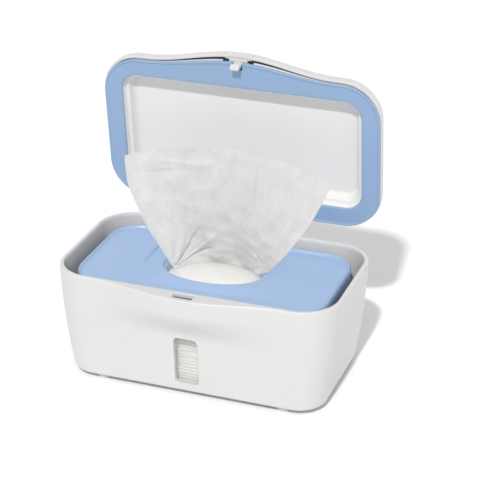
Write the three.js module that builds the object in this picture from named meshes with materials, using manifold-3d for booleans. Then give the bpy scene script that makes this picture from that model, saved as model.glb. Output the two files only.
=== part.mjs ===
import * as THREE from 'three';
import * as BufferGeometryUtils from 'three/addons/utils/BufferGeometryUtils.js';
import Module from 'manifold-3d';

const wasm = await Module();
wasm.setup();

// A push-button dispenser for moist wipes, lid standing open and one wipe pulled up.
// X runs along the tub, -Y is the front, +Z is up, all sizes in millimetres.

// General clearances
const SEAT_GAP = 0.3;
const TUCK = 0.5;

// Tub
const RIM_LENGTH = 228;
const RIM_DEPTH = 125;
const RIM_CORNER = 30.6;
const TUB_HEIGHT = 92;
const DRAFT_LENGTH = 9.7;
const DRAFT_DEPTH = 5.1;
const DRAFT_CURVE = 1.6;
const BASE_CORNER = 22;
const BASE_ROUND = 3;
const RIM_ROUND = 1.3;
const TUB_WALL = 3.4;
const TUB_FLOOR = 3;
const FLOOR_ROUND = 4;

// Swelling of the front wall under the thumb
const SWELL_REACH = 11;
const SWELL_SPREAD = 80;
const SWELL_DROP = 11;
const SWELL_FADE = 33;
const LEDGE_THICKNESS = 3;

// Latch slot in the ledge
const SLOT_WIDTH = 16;
const SLOT_DEPTH = 6.4;
const SLOT_LIP = 4.6;

// Level window in the front wall
const WINDOW_WIDTH = 21;
const WINDOW_HEIGHT = 39.5;
const WINDOW_SILL = 13;
const WINDOW_CORNER = 3.6;
const WINDOW_RECESS = 1.1;
const WINDOW_FLANGE = 4;
const WINDOW_SHEET = 1.2;

// Feet
const FOOT_HEIGHT = 4;
const FOOT_RADIUS = 6.5;
const FOOT_ROUND = 1.2;
const FOOT_SET_IN_X = 39.5;
const FOOT_SET_IN_Y = 15.5;
const FOOT_STEM_RADIUS = 2.2;

// Lid
const LID_OVERHANG = 0.8;
const LID_HEIGHT = 17;
const LID_SIDE = 3.2;
const LID_ROUND = 12;
const LID_CROWN = 1.6;
const LID_CROWN_REACH = 25;
const LID_CROWN_REST = 0.4;
const LID_WALL = 2.4;
const LID_SWELL_HOLD = 7;
const OPEN_ANGLE = 84;

// Soft sealing ring round the lid's mouth
const GASKET_THICKNESS = 2;
const GASKET_INSET = 0.7;
const GASKET_SWELL = 8.3;
const MOUTH_BORDER_ENDS = 15;
const MOUTH_BORDER_SIDES = 15.6;
const MOUTH_CORNER = 23;
const GASKET_LIP = 1.2;

// Inner pan of the lid
const PAN_SHEET = 1.8;
const PAN_DEPTH = 10.5;
const PAN_STEP_DEPTH = 3.5;
const PAN_STEP_WIDTH = 2.6;
const PAN_STEP_EASE = 0.4;
const PAN_FLOOR_EASE = 1.8;
const PAN_DRAFT = 3;
const PAN_FLANGE_INSET = 4.2;

// Hinge
const HINGE_BACK = 8.8;
const HINGE_RISE = 4.9;
const KNUCKLE_RADIUS = 4.5;
const STATION_SPACING = 60;
const EAR_THICKNESS = 3.6;
const ARM_WIDTH = 8;
const SPRING_ROOM = 8.6;
const EAR_DROP = 26;
const PIN_RADIUS = 1.6;
const PIN_HEAD_RADIUS = 2.9;
const PIN_HEAD = 1.2;

// Lid spring round each pin
const SPRING_WIRE = 0.9;
const SPRING_TURNS = 5;
const SPRING_CLEARANCE = 0.5;

// Latch button
const BUTTON_WIDTH = 24;
const BUTTON_HEIGHT = 5;
const BUTTON_RISE = 0.6;
const BUTTON_PROUD = 0.3;
const BUTTON_TRAVEL = 2.5;
const CARRIAGE_WIDTH = 15;
const CARRIAGE_HEIGHT = 6;
const CARRIAGE_CLEAR = 1;
const HOOK_WIDTH = 7;
const HOOK_SHANK = 2.2;
const HOOK_TOOTH = 1.9;
const HOOK_TOOTH_HEIGHT = 3.6;
const HOOK_NOSE = 2.7;
const LATCH_SPRING_RADIUS = 1.8;
const LATCH_SPRING_WIRE = 0.6;
const LATCH_SPRING_TURNS = 5;
const LATCH_SPRING_LENGTH = 7.5;
const SPRING_STOP = 1.6;

// Stack of folded wipes
const STACK_ROOM = 4;
const STACK_CORNER = 9;
const STACK_FOLDS = 5;
const STACK_FOLD_ROUND = 1.2;
const STACK_FOLD_SHARE = 0.22;
const STACK_SWELL = 4.5;
const STACK_SUNK = 2;
const STACK_HOLE_ROOM = 1;

// Weighted plate on the stack
const PLATE_ROOM_ENDS = 8.8;
const PLATE_ROOM_SIDES = 6.1;
const PLATE_CORNER = 25.8;
const PLATE_DEEP = 6.4;
const PLATE_THICKNESS = 10.4;
const PLATE_SHEET = 1.8;
const PLATE_BEAD = 3.2;
const PLATE_DISH = 1.6;
const PLATE_CROWN = 3.12;
const PLATE_CROWN_SHARE = 0.625;
const PLATE_SADDLE = 1.56;
const PLATE_BASE_SHEET = 1.6;
const HOLE_LENGTH = 84;
const HOLE_DEPTH = 61;
const HOLE_LIP = 2.4;
const HOLE_STEP = 1.6;
const RIB_LENGTH = 36;
const RIB_WIDTH = 3.2;
const RIB_PROUD = 0.9;
const RIB_GAP = 15.5;
const RIB_BACK = 9;
const WEIGHT_LENGTH = 36;
const WEIGHT_DEPTH = 74;
const WEIGHT_THICKNESS = 3;
const WEIGHT_CORNER = 6;

// Pulled wipe
const WIPE_TOP_WIDTH = 168;
const WIPE_NECK_WIDTH = 60;
const WIPE_NECK_BACK = 9;
const WIPE_NECK_BOW = 15;
const WIPE_SHIFT = 3;
const WIPE_SIDE_RISE = 69;
const WIPE_MIDDLE_RISE = 84.5;
const WIPE_CREST = 2.2;
const WIPE_LEAN = 0.21;
const WIPE_FLARE = 0.72;
const WIPE_THICKNESS = 1;
const WIPE_FOLD = 2.4;
const WIPE_FOLDS = 4.5;
const WIPE_FOLD_START = 0.6;
const WIPE_FOLD_FADE = 0.55;
const WIPE_FOLD_FOOT = 8;

// Fineness of the curved surfaces
const CORNER_STEPS = 6;
const FRONT_STEPS = 14;
const ROUND_SIDES = 16;
const PLATE_STATIONS = 52;
const TURN_STEPS = 8;

const QUARTER = Math.PI / 2;
const ARC_TRIM = 0.01;
const KNUCKLE_TANGENT = QUARTER / 3;
const DISH_SHARES = [0.93, 0.6, 0.36, 0.18, 0.06];

// Sizes that follow from the ones above
const RIM_HALF_LENGTH = RIM_LENGTH / 2;
const RIM_HALF_DEPTH = RIM_DEPTH / 2;
const LID_PLANE = TUB_HEIGHT + SEAT_GAP;
const SHELL_PLANE = LID_PLANE + GASKET_THICKNESS + SEAT_GAP;
const HINGE_Y = RIM_HALF_DEPTH + HINGE_BACK;
const HINGE_Z = TUB_HEIGHT + HINGE_RISE;
const STACK_HALF_LENGTH = RIM_HALF_LENGTH - DRAFT_LENGTH - TUB_WALL - STACK_ROOM;
const STACK_HALF_DEPTH = RIM_HALF_DEPTH - DRAFT_DEPTH - TUB_WALL - STACK_ROOM;
const PLATE_HALF_LENGTH = RIM_HALF_LENGTH - TUB_WALL - PLATE_ROOM_ENDS;
const PLATE_HALF_DEPTH = RIM_HALF_DEPTH - TUB_WALL - PLATE_ROOM_SIDES;
const PLATE_TOP = TUB_HEIGHT - PLATE_DEEP;

// Bead of the plate: shares of its width, inward and down
const BEAD_PROFILE = [[0, 0.55], [0.25, 0.12], [0.6, 0], [1, 0.4]];

// Wall of the plate's hole: steps inward and lips down
const HOLE_PROFILE = [[0.25, 0.5], [1, 1], [1.2, 1.6], [2, 1.8]];

// Section of the sealing ring: shares of the band from its outer edge, and of its thickness
const SEAL_PROFILE = [[0, 0.3], [0.04, 0], [0.1, 0], [0.16, 0.25], [0.94, 0.25], [1, 0.5], [1, 1], [0, 1]];

const materials = {
  body: new THREE.MeshStandardMaterial({ color: 0xf1f1ef, roughness: 0.38, metalness: 0 }),
  blue: new THREE.MeshStandardMaterial({ color: 0x9fb7dc, roughness: 0.45, metalness: 0 }),
  seal: new THREE.MeshStandardMaterial({ color: 0x8fa9d3, roughness: 0.6, metalness: 0 }),
  clear: new THREE.MeshStandardMaterial({ color: 0xe9eef0, roughness: 0.1, metalness: 0 }),
  rubber: new THREE.MeshStandardMaterial({ color: 0xdcdcd8, roughness: 0.75, metalness: 0 }),
  steel: new THREE.MeshStandardMaterial({ color: 0xb9bcc0, roughness: 0.3, metalness: 1 }),
  wipe: new THREE.MeshStandardMaterial({ color: 0xf4f3ee, roughness: 0.95, metalness: 0 }),
};

// Shape tools

function lerp(a, b, t) {
  return a + (b - a) * t;
}

function smooth(t) {
  const c = Math.min(1, Math.max(0, t));
  return c * c * (3 - 2 * c);
}

// Bell curve along the front wall, one in the middle and nothing past the spread
function swellShare(x) {
  return Math.abs(x) < SWELL_SPREAD ? Math.cos((QUARTER * x) / SWELL_SPREAD) ** 2 : 0;
}

// Level rounded rectangle whose front side is pushed out by the swelling
function ring(halfLength, halfDepth, corner, z, swell = 0) {
  const points = [];
  const centreX = halfLength - corner;
  const centreY = halfDepth - corner;
  const place = (x, y) => {
    points.push(new THREE.Vector3(x, y < 0 ? y - swell * swellShare(x) : y, z));
  };
  [[1, 1], [-1, 1], [-1, -1], [1, -1]].forEach(([sideX, sideY], quarter) => {
    for (let step = 0; step <= CORNER_STEPS; step += 1) {
      const angle = (quarter + step / CORNER_STEPS) * QUARTER;
      place(sideX * centreX + corner * Math.cos(angle), sideY * centreY + corner * Math.sin(angle));
    }
    if (quarter === 2) {
      for (let step = 1; step < FRONT_STEPS; step += 1) {
        place(lerp(-centreX, centreX, step / FRONT_STEPS), -halfDepth);
      }
    }
  });
  return points;
}

function signedVolume(position, index) {
  const [a, b, c] = [new THREE.Vector3(), new THREE.Vector3(), new THREE.Vector3()];
  let volume = 0;
  for (let i = 0; i < index.length; i += 3) {
    a.fromArray(position, index[i] * 3);
    b.fromArray(position, index[i + 1] * 3);
    c.fromArray(position, index[i + 2] * 3);
    volume += a.dot(b.cross(c));
  }
  return volume;
}

function closedGeometry(points, index) {
  const position = points.flatMap((p) => [p.x, p.y, p.z]);
  const facing = signedVolume(position, index) > 0 ? index : index.slice().reverse();
  const geometry = new THREE.BufferGeometry();
  geometry.setAttribute('position', new THREE.Float32BufferAttribute(position, 3));
  geometry.setIndex(facing);
  geometry.computeVertexNormals();
  return geometry;
}

// Skin through a pile of rings with the same number of points, capped at both ends
function loft(rings) {
  const count = rings[0].length;
  const points = rings.flat();
  const index = [];
  for (let level = 0; level + 1 < rings.length; level += 1) {
    for (let i = 0; i < count; i += 1) {
      const a = level * count + i;
      const b = level * count + ((i + 1) % count);
      index.push(a, b, b + count, a, b + count, a + count);
    }
  }
  [0, rings.length - 1].forEach((level) => {
    const middle = rings[level].reduce((sum, p) => sum.add(p), new THREE.Vector3());
    points.push(middle.divideScalar(count));
    for (let i = 0; i < count; i += 1) {
      const a = level * count + i;
      const b = level * count + ((i + 1) % count);
      index.push(...(level === 0 ? [points.length - 1, b, a] : [points.length - 1, a, b]));
    }
  });
  return closedGeometry(points, index);
}

// Ring-shaped body: the same closed section carried once round, one list of points a station
function ringBody(sections) {
  const count = sections[0].length;
  const index = [];
  sections.forEach((section, station) => {
    const next = (station + 1) % sections.length;
    for (let i = 0; i < count; i += 1) {
      const j = (i + 1) % count;
      const [a, b] = [station * count + i, station * count + j];
      const [c, d] = [next * count + i, next * count + j];
      index.push(a, c, d, a, d, b);
    }
  });
  return closedGeometry(sections.flat(), index);
}

function toSolid(geometry) {
  const bare = geometry.clone();
  bare.deleteAttribute('normal');
  bare.deleteAttribute('uv');
  const merged = BufferGeometryUtils.mergeVertices(bare);
  return new wasm.Manifold(new wasm.Mesh({
    numProp: 3,
    vertProperties: new Float32Array(merged.attributes.position.array),
    triVerts: new Uint32Array(merged.index.array),
  }));
}

function toGeometry(solid) {
  const { vertProperties, triVerts } = solid.getMesh();
  const geometry = new THREE.BufferGeometry();
  geometry.setAttribute('position', new THREE.BufferAttribute(new Float32Array(vertProperties), 3));
  geometry.setIndex(new THREE.BufferAttribute(new Uint32Array(triVerts), 1));
  geometry.computeVertexNormals();
  return geometry;
}

function roundedShape(width, height, corner) {
  const [w, h] = [width / 2, height / 2];
  const shape = new THREE.Shape();
  shape.moveTo(-w + corner, -h);
  shape.lineTo(w - corner, -h);
  shape.absarc(w - corner, -h + corner, corner, -QUARTER, 0);
  shape.lineTo(w, h - corner);
  shape.absarc(w - corner, h - corner, corner, 0, QUARTER);
  shape.lineTo(-w + corner, h);
  shape.absarc(-w + corner, h - corner, corner, QUARTER, 2 * QUARTER);
  shape.lineTo(-w, -h + corner);
  shape.absarc(-w + corner, -h + corner, corner, 2 * QUARTER, 3 * QUARTER);
  return shape;
}

// Rounded bar whose face looks to the front: from yBack forward by depth
function frontBar(width, height, corner, yBack, depth, z) {
  const geometry = new THREE.ExtrudeGeometry(roundedShape(width, height, corner), {
    depth, bevelEnabled: false, curveSegments: 5,
  });
  return geometry.rotateX(QUARTER).translate(0, yBack, z);
}

// Block between two levels, given by its middle and sizes
function block(x, y, zLow, zHigh, sizeX, sizeY) {
  return new THREE.BoxGeometry(sizeX, sizeY, zHigh - zLow).translate(x, y, (zLow + zHigh) / 2);
}

// Side plate drawn in the YZ plane and given a thickness along X, centred on x
function sidePlate(shape, x, thickness) {
  const geometry = new THREE.ExtrudeGeometry(shape, {
    depth: thickness, bevelEnabled: false, curveSegments: 8,
  });
  geometry.applyMatrix4(new THREE.Matrix4().makeBasis(
    new THREE.Vector3(0, 1, 0), new THREE.Vector3(0, 0, 1), new THREE.Vector3(1, 0, 0),
  ));
  return geometry.translate(x - thickness / 2, 0, 0);
}

// Round bar along X at the hinge's axis
function axle(x, radius, length) {
  return new THREE.CylinderGeometry(radius, radius, length, ROUND_SIDES)
    .rotateZ(QUARTER)
    .translate(x, HINGE_Y, HINGE_Z);
}

// Tub

// How much of the swelling is left at a height
function swellAt(z) {
  const below = TUB_HEIGHT - z;
  return SWELL_REACH * (1 - smooth((below - SWELL_DROP) / (SWELL_FADE - SWELL_DROP)));
}

function tubRing(z, inset, swell = swellAt(z)) {
  const drop = Math.max(0, (TUB_HEIGHT - z) / (TUB_HEIGHT - FOOT_HEIGHT));
  const lean = drop ** DRAFT_CURVE;
  return ring(
    RIM_HALF_LENGTH - DRAFT_LENGTH * lean - inset,
    RIM_HALF_DEPTH - DRAFT_DEPTH * lean - inset,
    lerp(RIM_CORNER, BASE_CORNER, drop) - inset,
    z,
    swell,
  );
}

const wallLevels = [0.2, 0.45, 0.7, 1]
  .map((t) => lerp(FOOT_HEIGHT + BASE_ROUND, TUB_HEIGHT - SWELL_FADE, t))
  .concat([0.25, 0.5, 0.75, 1].map((t) => TUB_HEIGHT - lerp(SWELL_FADE, SWELL_DROP, t)));

function outerTub(inset) {
  const rings = [0, 0.5, 1].map((t) => tubRing(
    FOOT_HEIGHT + inset + BASE_ROUND * (1 - Math.cos(t * QUARTER)),
    inset + BASE_ROUND * (1 - Math.sin(t * QUARTER)),
  ));
  wallLevels.forEach((z) => rings.push(tubRing(z, inset)));
  [0, 0.5, 1].forEach((t) => rings.push(tubRing(
    TUB_HEIGHT - RIM_ROUND * (1 - Math.sin(t * QUARTER)),
    inset + RIM_ROUND * (1 - Math.cos(t * QUARTER)),
  )));
  return toSolid(loft(rings));
}

function tubCavity() {
  const floor = FOOT_HEIGHT + TUB_FLOOR;
  const ceiling = TUB_HEIGHT - LEDGE_THICKNESS;
  const rings = [0, 0.5, 1].map((t) => tubRing(
    floor + FLOOR_ROUND * (1 - Math.cos(t * QUARTER)),
    TUB_WALL + FLOOR_ROUND * (1 - Math.sin(t * QUARTER)),
  ));
  wallLevels.forEach((z) => rings.push(tubRing(z, TUB_WALL)));
  rings.push(tubRing(ceiling - TUCK, TUB_WALL), tubRing(ceiling, TUB_WALL));
  const mouth = loft([
    tubRing(ceiling - TUCK, TUB_WALL, 0),
    tubRing(ceiling, TUB_WALL, 0),
    tubRing(TUB_HEIGHT - RIM_ROUND, TUB_WALL, 0),
    tubRing(TUB_HEIGHT, TUB_WALL - RIM_ROUND / 2, 0),
    tubRing(TUB_HEIGHT + TUCK, TUB_WALL - RIM_ROUND / 2, 0),
  ]);
  return toSolid(loft(rings)).add(toSolid(mouth));
}

const windowMiddle = WINDOW_SILL + WINDOW_HEIGHT / 2;

function windowPrism(margin) {
  return toSolid(frontBar(
    WINDOW_WIDTH + 2 * margin,
    WINDOW_HEIGHT + 2 * margin,
    WINDOW_CORNER + margin,
    -RIM_HALF_DEPTH / 2,
    RIM_HALF_DEPTH,
    windowMiddle,
  ));
}

const slotFront = -RIM_HALF_DEPTH - SWELL_REACH + SLOT_LIP;

function latchSlot() {
  const z = TUB_HEIGHT - LEDGE_THICKNESS;
  return toSolid(block(0, slotFront + SLOT_DEPTH / 2, z - TUCK, TUB_HEIGHT + TUCK, SLOT_WIDTH, SLOT_DEPTH));
}

// Places along X of the parts of one hinge station, outward from the middle of the dispenser
const station = {
  innerEar: STATION_SPACING / 2 - (SPRING_ROOM + ARM_WIDTH) / 2 - EAR_THICKNESS / 2,
  spring: STATION_SPACING / 2 - ARM_WIDTH / 2,
  arm: STATION_SPACING / 2 + SPRING_ROOM / 2,
  outerEar: STATION_SPACING / 2 + (SPRING_ROOM + ARM_WIDTH) / 2 + EAR_THICKNESS / 2,
};

function earShape() {
  const wall = RIM_HALF_DEPTH - TUB_WALL / 2;
  const low = TUB_HEIGHT - EAR_DROP;
  const shape = new THREE.Shape();
  shape.moveTo(wall - DRAFT_DEPTH * ((TUB_HEIGHT - low) / TUB_HEIGHT) ** DRAFT_CURVE, low);
  shape.lineTo(
    HINGE_Y + KNUCKLE_RADIUS * Math.cos(KNUCKLE_TANGENT),
    HINGE_Z - KNUCKLE_RADIUS * Math.sin(KNUCKLE_TANGENT),
  );
  shape.absarc(HINGE_Y, HINGE_Z, KNUCKLE_RADIUS, -KNUCKLE_TANGENT, 2 * QUARTER);
  shape.lineTo(wall, TUB_HEIGHT - KNUCKLE_RADIUS);
  return shape;
}

function footPlaces() {
  const places = [
    [-1, -1, 'foot_front_left'], [1, -1, 'foot_front_right'], [-1, 1, 'foot_back_left'], [1, 1, 'foot_back_right'],
  ];
  return places.map(([sideX, sideY, name]) => ({
    x: sideX * (RIM_HALF_LENGTH - FOOT_SET_IN_X), y: sideY * (RIM_HALF_DEPTH - FOOT_SET_IN_Y), name,
  }));
}

function tubBody() {
  let solid = outerTub(0).subtract(tubCavity());
  [-1, 1].forEach((side) => [station.innerEar, station.outerEar].forEach((x) => {
    solid = solid.add(toSolid(sidePlate(earShape(), side * x, EAR_THICKNESS)));
    solid = solid.subtract(toSolid(axle(side * x, PIN_RADIUS + SEAT_GAP, EAR_THICKNESS + TUCK)));
  }));
  solid = solid.subtract(windowPrism(0)).subtract(latchSlot());
  footPlaces().forEach(({ x, y }) => {
    const socket = new THREE.CylinderGeometry(
      FOOT_STEM_RADIUS + SEAT_GAP, FOOT_STEM_RADIUS + SEAT_GAP, TUB_FLOOR, ROUND_SIDES,
    );
    solid = solid.subtract(toSolid(socket.rotateX(QUARTER).translate(x, y, FOOT_HEIGHT)));
  });
  return toGeometry(solid);
}

// Clear pane: a plug that fills the opening and a flange behind the wall
function windowPane() {
  const plug = windowPrism(-SEAT_GAP).intersect(outerTub(WINDOW_RECESS));
  const flange = windowPrism(WINDOW_FLANGE).intersect(outerTub(TUB_WALL + SEAT_GAP));
  const back = outerTub(TUB_WALL + SEAT_GAP + WINDOW_SHEET);
  return toGeometry(plug.add(flange).subtract(back));
}

// Soft foot: a pad with a rounded rim and a stem up into the tub's floor
function foot() {
  const top = FOOT_HEIGHT - SEAT_GAP;
  const stemTop = FOOT_HEIGHT + TUB_FLOOR / 2 - SEAT_GAP;
  const edge = [0, 0.5, 1].map((t) => [
    FOOT_RADIUS - FOOT_ROUND * (1 - Math.sin(t * QUARTER)), FOOT_ROUND * (1 - Math.cos(t * QUARTER)),
  ]);
  const profile = [
    [0, 0], ...edge, [FOOT_RADIUS, top], [FOOT_STEM_RADIUS, top], [FOOT_STEM_RADIUS, stemTop], [0, stemTop],
  ].map(([r, z]) => new THREE.Vector2(r, z));
  return new THREE.LatheGeometry(profile, ROUND_SIDES).rotateX(QUARTER);
}

// Stack of folded wipes

const plateUnderside = PLATE_TOP - PLATE_THICKNESS;
const stackBottom = FOOT_HEIGHT + TUB_FLOOR + SEAT_GAP;
const stackTop = plateUnderside - SEAT_GAP;

// The weight of the plate makes the stack swell up into the hole, as part of an egg shape
const stackSwelling = {
  x: HOLE_LENGTH / 2 - 2 * HOLE_STEP - STACK_HOLE_ROOM,
  y: HOLE_DEPTH / 2 - 2 * HOLE_STEP - STACK_HOLE_ROOM,
  z: STACK_SWELL + STACK_SUNK,
  low: stackTop - STACK_SUNK,
};

function stackHeight(x, y) {
  const { x: a, y: b, z: c, low } = stackSwelling;
  return Math.max(stackTop, low + c * Math.sqrt(Math.max(0, 1 - (x / a) ** 2 - (y / b) ** 2)));
}

function wipeStack() {
  const rings = [];
  const fold = (stackTop - stackBottom) / STACK_FOLDS;
  for (let layer = 0; layer < STACK_FOLDS; layer += 1) {
    [[0, STACK_FOLD_ROUND], [STACK_FOLD_SHARE, 0], [1 - STACK_FOLD_SHARE, 0]].forEach(([share, inset]) => {
      rings.push(ring(
        STACK_HALF_LENGTH - inset, STACK_HALF_DEPTH - inset, STACK_CORNER, stackBottom + (layer + share) * fold,
      ));
    });
  }
  rings.push(ring(
    STACK_HALF_LENGTH - STACK_FOLD_ROUND, STACK_HALF_DEPTH - STACK_FOLD_ROUND, STACK_CORNER, stackTop,
  ));
  const swelling = new THREE.SphereGeometry(1, 20, 10)
    .rotateX(QUARTER)
    .scale(stackSwelling.x, stackSwelling.y, stackSwelling.z)
    .translate(0, 0, stackSwelling.low);
  return toGeometry(toSolid(loft(rings)).add(toSolid(swelling)));
}

// Weighted plate

const holeHalf = { x: HOLE_LENGTH / 2, y: HOLE_DEPTH / 2 };

// Height of the plate's top between the hole (share 0) and the bead's foot (share 1)
function plateHeight(angle, share) {
  const crown = PLATE_CROWN * (1 - smooth(share / PLATE_CROWN_SHARE));
  return PLATE_TOP - PLATE_DISH + crown - PLATE_SADDLE * Math.cos(angle) ** 2 * (1 - share);
}

// Point of a rounded rectangle on the ray from its middle through an ellipse's point at the angle
function outlinePoint(halfLength, halfDepth, corner, angle) {
  const ray = new THREE.Vector2(halfLength * Math.cos(angle), halfDepth * Math.sin(angle));
  const across = new THREE.Vector2(Math.abs(ray.x), Math.abs(ray.y));
  const centre = new THREE.Vector2(halfLength - corner, halfDepth - corner);
  if (across.y * halfLength <= centre.y * across.x) {
    return ray.multiplyScalar(halfLength / across.x);
  }
  if (across.x * halfDepth <= centre.x * across.y) {
    return ray.multiplyScalar(halfDepth / across.y);
  }
  const along = across.dot(centre);
  const room = along ** 2 - across.lengthSq() * (centre.lengthSq() - corner ** 2);
  return ray.multiplyScalar((along + Math.sqrt(room)) / across.lengthSq());
}

// The plate's outline and its hole, at evenly spread angles
function plateOutline(inset) {
  return Array.from({ length: PLATE_STATIONS }, (_, i) => outlinePoint(
    PLATE_HALF_LENGTH - inset, PLATE_HALF_DEPTH - inset, PLATE_CORNER - inset, plateAngle(i),
  ));
}

function plateAngle(i) {
  return (i * 4 * QUARTER) / PLATE_STATIONS;
}

function holePoint(i, shrink) {
  const angle = plateAngle(i);
  return new THREE.Vector2((holeHalf.x - shrink) * Math.cos(angle), (holeHalf.y - shrink) * Math.sin(angle));
}

function plateCover() {
  const edge = plateOutline(0);
  const rim = plateOutline(PLATE_BEAD);
  const inner = plateOutline(PLATE_SHEET);
  const sections = edge.map((outer, i) => {
    const hole = holePoint(i, 0);
    const angle = plateAngle(i);
    const section = [];
    const add = (x, y, z) => section.push(new THREE.Vector3(x, y, z));
    const across = (share, z) => add(lerp(hole.x, rim[i].x, share), lerp(hole.y, rim[i].y, share), z);
    const low = plateUnderside;
    add(outer.x, outer.y, low);
    BEAD_PROFILE.forEach(([inward, down]) => add(
      lerp(outer.x, rim[i].x, inward), lerp(outer.y, rim[i].y, inward), PLATE_TOP - PLATE_BEAD * down,
    ));
    DISH_SHARES.forEach((share) => across(share, plateHeight(angle, share)));
    const lip = plateHeight(angle, 0);
    const ledge = (shrink, z) => {
      const p = holePoint(i, shrink);
      add(p.x, p.y, z);
    };
    HOLE_PROFILE.forEach(([steps, lips]) => ledge(steps * HOLE_STEP, lip - lips * HOLE_LIP));
    const [steps, lips] = HOLE_PROFILE[HOLE_PROFILE.length - 1];
    ledge(steps * HOLE_STEP, low);
    ledge(steps * HOLE_STEP - PLATE_SHEET, low);
    ledge(steps * HOLE_STEP - PLATE_SHEET, lip - lips * HOLE_LIP - PLATE_SHEET);
    const under = DISH_SHARES.slice(0, -1).reverse();
    under.forEach((share) => across(share, plateHeight(angle, share) - PLATE_SHEET));
    add(inner[i].x, inner[i].y, PLATE_TOP - PLATE_BEAD);
    add(inner[i].x, inner[i].y, low);
    return section;
  });
  const rib = new THREE.ExtrudeGeometry(roundedShape(RIB_WIDTH, RIB_LENGTH, RIB_WIDTH / 2 - ARC_TRIM), {
    depth: PLATE_SHEET + RIB_PROUD, bevelEnabled: false, curveSegments: 3,
  });
  rib.translate(-holeHalf.x - RIB_GAP, RIB_BACK, PLATE_TOP - PLATE_DISH - PLATE_SHEET + SEAT_GAP);
  return toGeometry(toSolid(ringBody(sections)).add(toSolid(rib)));
}

// Flat cover that closes the plate from below, between the outer skirt and the hole's wall
function plateBase() {
  const edge = plateOutline(PLATE_SHEET + SEAT_GAP);
  const shrink = 2 * HOLE_STEP - PLATE_SHEET - SEAT_GAP;
  const sections = edge.map((outer, i) => {
    const hole = holePoint(i, shrink);
    return [[outer, plateUnderside], [outer, plateUnderside + PLATE_BASE_SHEET],
      [hole, plateUnderside + PLATE_BASE_SHEET], [hole, plateUnderside]]
      .map(([p, z]) => new THREE.Vector3(p.x, p.y, z));
  });
  return ringBody(sections);
}

function plateWeight() {
  return new THREE.ExtrudeGeometry(roundedShape(WEIGHT_LENGTH, WEIGHT_DEPTH, WEIGHT_CORNER), {
    depth: WEIGHT_THICKNESS, bevelEnabled: false, curveSegments: 5,
  });
}

// Pulled wipe: a fan of cloth from its bowed neck on the stack, through the hole, to its free edge
function pulledWipe() {
  const [columns, rows] = [22, 8];
  const middle = (s, t) => {
    const halfWidth = lerp(WIPE_NECK_WIDTH, WIPE_TOP_WIDTH, t ** WIPE_FLARE) / 2;
    const x = WIPE_SHIFT * t + s * halfWidth;
    const top = TUB_HEIGHT + lerp(WIPE_MIDDLE_RISE, WIPE_SIDE_RISE, Math.abs(s) ** WIPE_CREST);
    const neckY = WIPE_NECK_BACK - WIPE_NECK_BOW * s ** 2;
    const wave = WIPE_FOLD * Math.sin(WIPE_FOLDS * s * Math.PI + WIPE_FOLD_START)
      * smooth(t * WIPE_FOLD_FOOT) * (1 - WIPE_FOLD_FADE * t);
    const bottom = stackHeight(s * (WIPE_NECK_WIDTH / 2), neckY) + 2 * SEAT_GAP;
    const z = lerp(bottom, top, t);
    const y = lerp(neckY, WIPE_LEAN * (top - stackTop), t) + wave;
    return new THREE.Vector3(x, y, z);
  };
  const points = [];
  [-1, 1].forEach((side) => {
    for (let row = 0; row <= rows; row += 1) {
      for (let column = 0; column <= columns; column += 1) {
        const p = middle((column / columns) * 2 - 1, row / rows);
        p.y += (side * WIPE_THICKNESS) / 2;
        points.push(p);
      }
    }
  });
  const width = columns + 1;
  const sheet = width * (rows + 1);
  const index = [];
  const quad = (a, b, c, d) => index.push(a, b, c, a, c, d);
  for (let row = 0; row < rows; row += 1) {
    for (let column = 0; column < columns; column += 1) {
      const a = row * width + column;
      quad(a, a + 1, a + width + 1, a + width);
      quad(sheet + a, sheet + a + width, sheet + a + width + 1, sheet + a + 1);
    }
  }
  for (let column = 0; column < columns; column += 1) {
    quad(column + 1, column, sheet + column, sheet + column + 1);
    const a = rows * width + column;
    quad(a, a + 1, sheet + a + 1, sheet + a);
  }
  for (let row = 0; row < rows; row += 1) {
    const a = row * width;
    quad(a, a + width, sheet + a + width, sheet + a);
    const b = a + columns;
    quad(b + width, b, sheet + b, sheet + b + width);
  }
  return closedGeometry(points, index);
}

// Lid, drawn closed and turned open about the hinge at the end

// Outline of the lid's shell at a height above its rim, pulled in by the inset
function shellRing(height, inset) {
  const over = LID_OVERHANG - inset;
  const swell = SWELL_REACH * (1 - smooth((height - LID_SWELL_HOLD) / (LID_HEIGHT - LID_SWELL_HOLD)));
  return ring(RIM_HALF_LENGTH + over, RIM_HALF_DEPTH + over, RIM_CORNER + over, SHELL_PLANE + height, swell);
}

function shellBody(inset, height) {
  const round = LID_ROUND - inset;
  const side = height - round - LID_CROWN;
  const rings = [shellRing(inset === 0 ? 0 : -TUCK, inset), shellRing(LID_SIDE, inset)];
  [0.2, 0.4, 0.6, 0.8, 1].forEach((t) => rings.push(shellRing(
    side + round * Math.sin(t * QUARTER),
    inset + round * (1 - Math.cos(t * QUARTER)),
  )));
  rings.push(shellRing(height - LID_CROWN_REST, inset + LID_CROWN_REACH));
  return toSolid(loft(rings));
}

function armShape() {
  const wall = RIM_HALF_DEPTH + LID_OVERHANG - LID_WALL / 2;
  const shape = new THREE.Shape();
  shape.moveTo(wall, SHELL_PLANE + TUCK);
  shape.lineTo(
    HINGE_Y - KNUCKLE_RADIUS * Math.cos(KNUCKLE_TANGENT),
    HINGE_Z - KNUCKLE_RADIUS * Math.sin(KNUCKLE_TANGENT),
  );
  shape.absarc(HINGE_Y, HINGE_Z, KNUCKLE_RADIUS, KNUCKLE_TANGENT - 2 * QUARTER, QUARTER);
  shape.lineTo(wall, SHELL_PLANE + LID_SIDE + KNUCKLE_RADIUS);
  return shape;
}

const buttonMiddle = SHELL_PLANE + BUTTON_RISE + BUTTON_HEIGHT / 2;
const shellFront = -RIM_HALF_DEPTH - LID_OVERHANG - SWELL_REACH;

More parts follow.
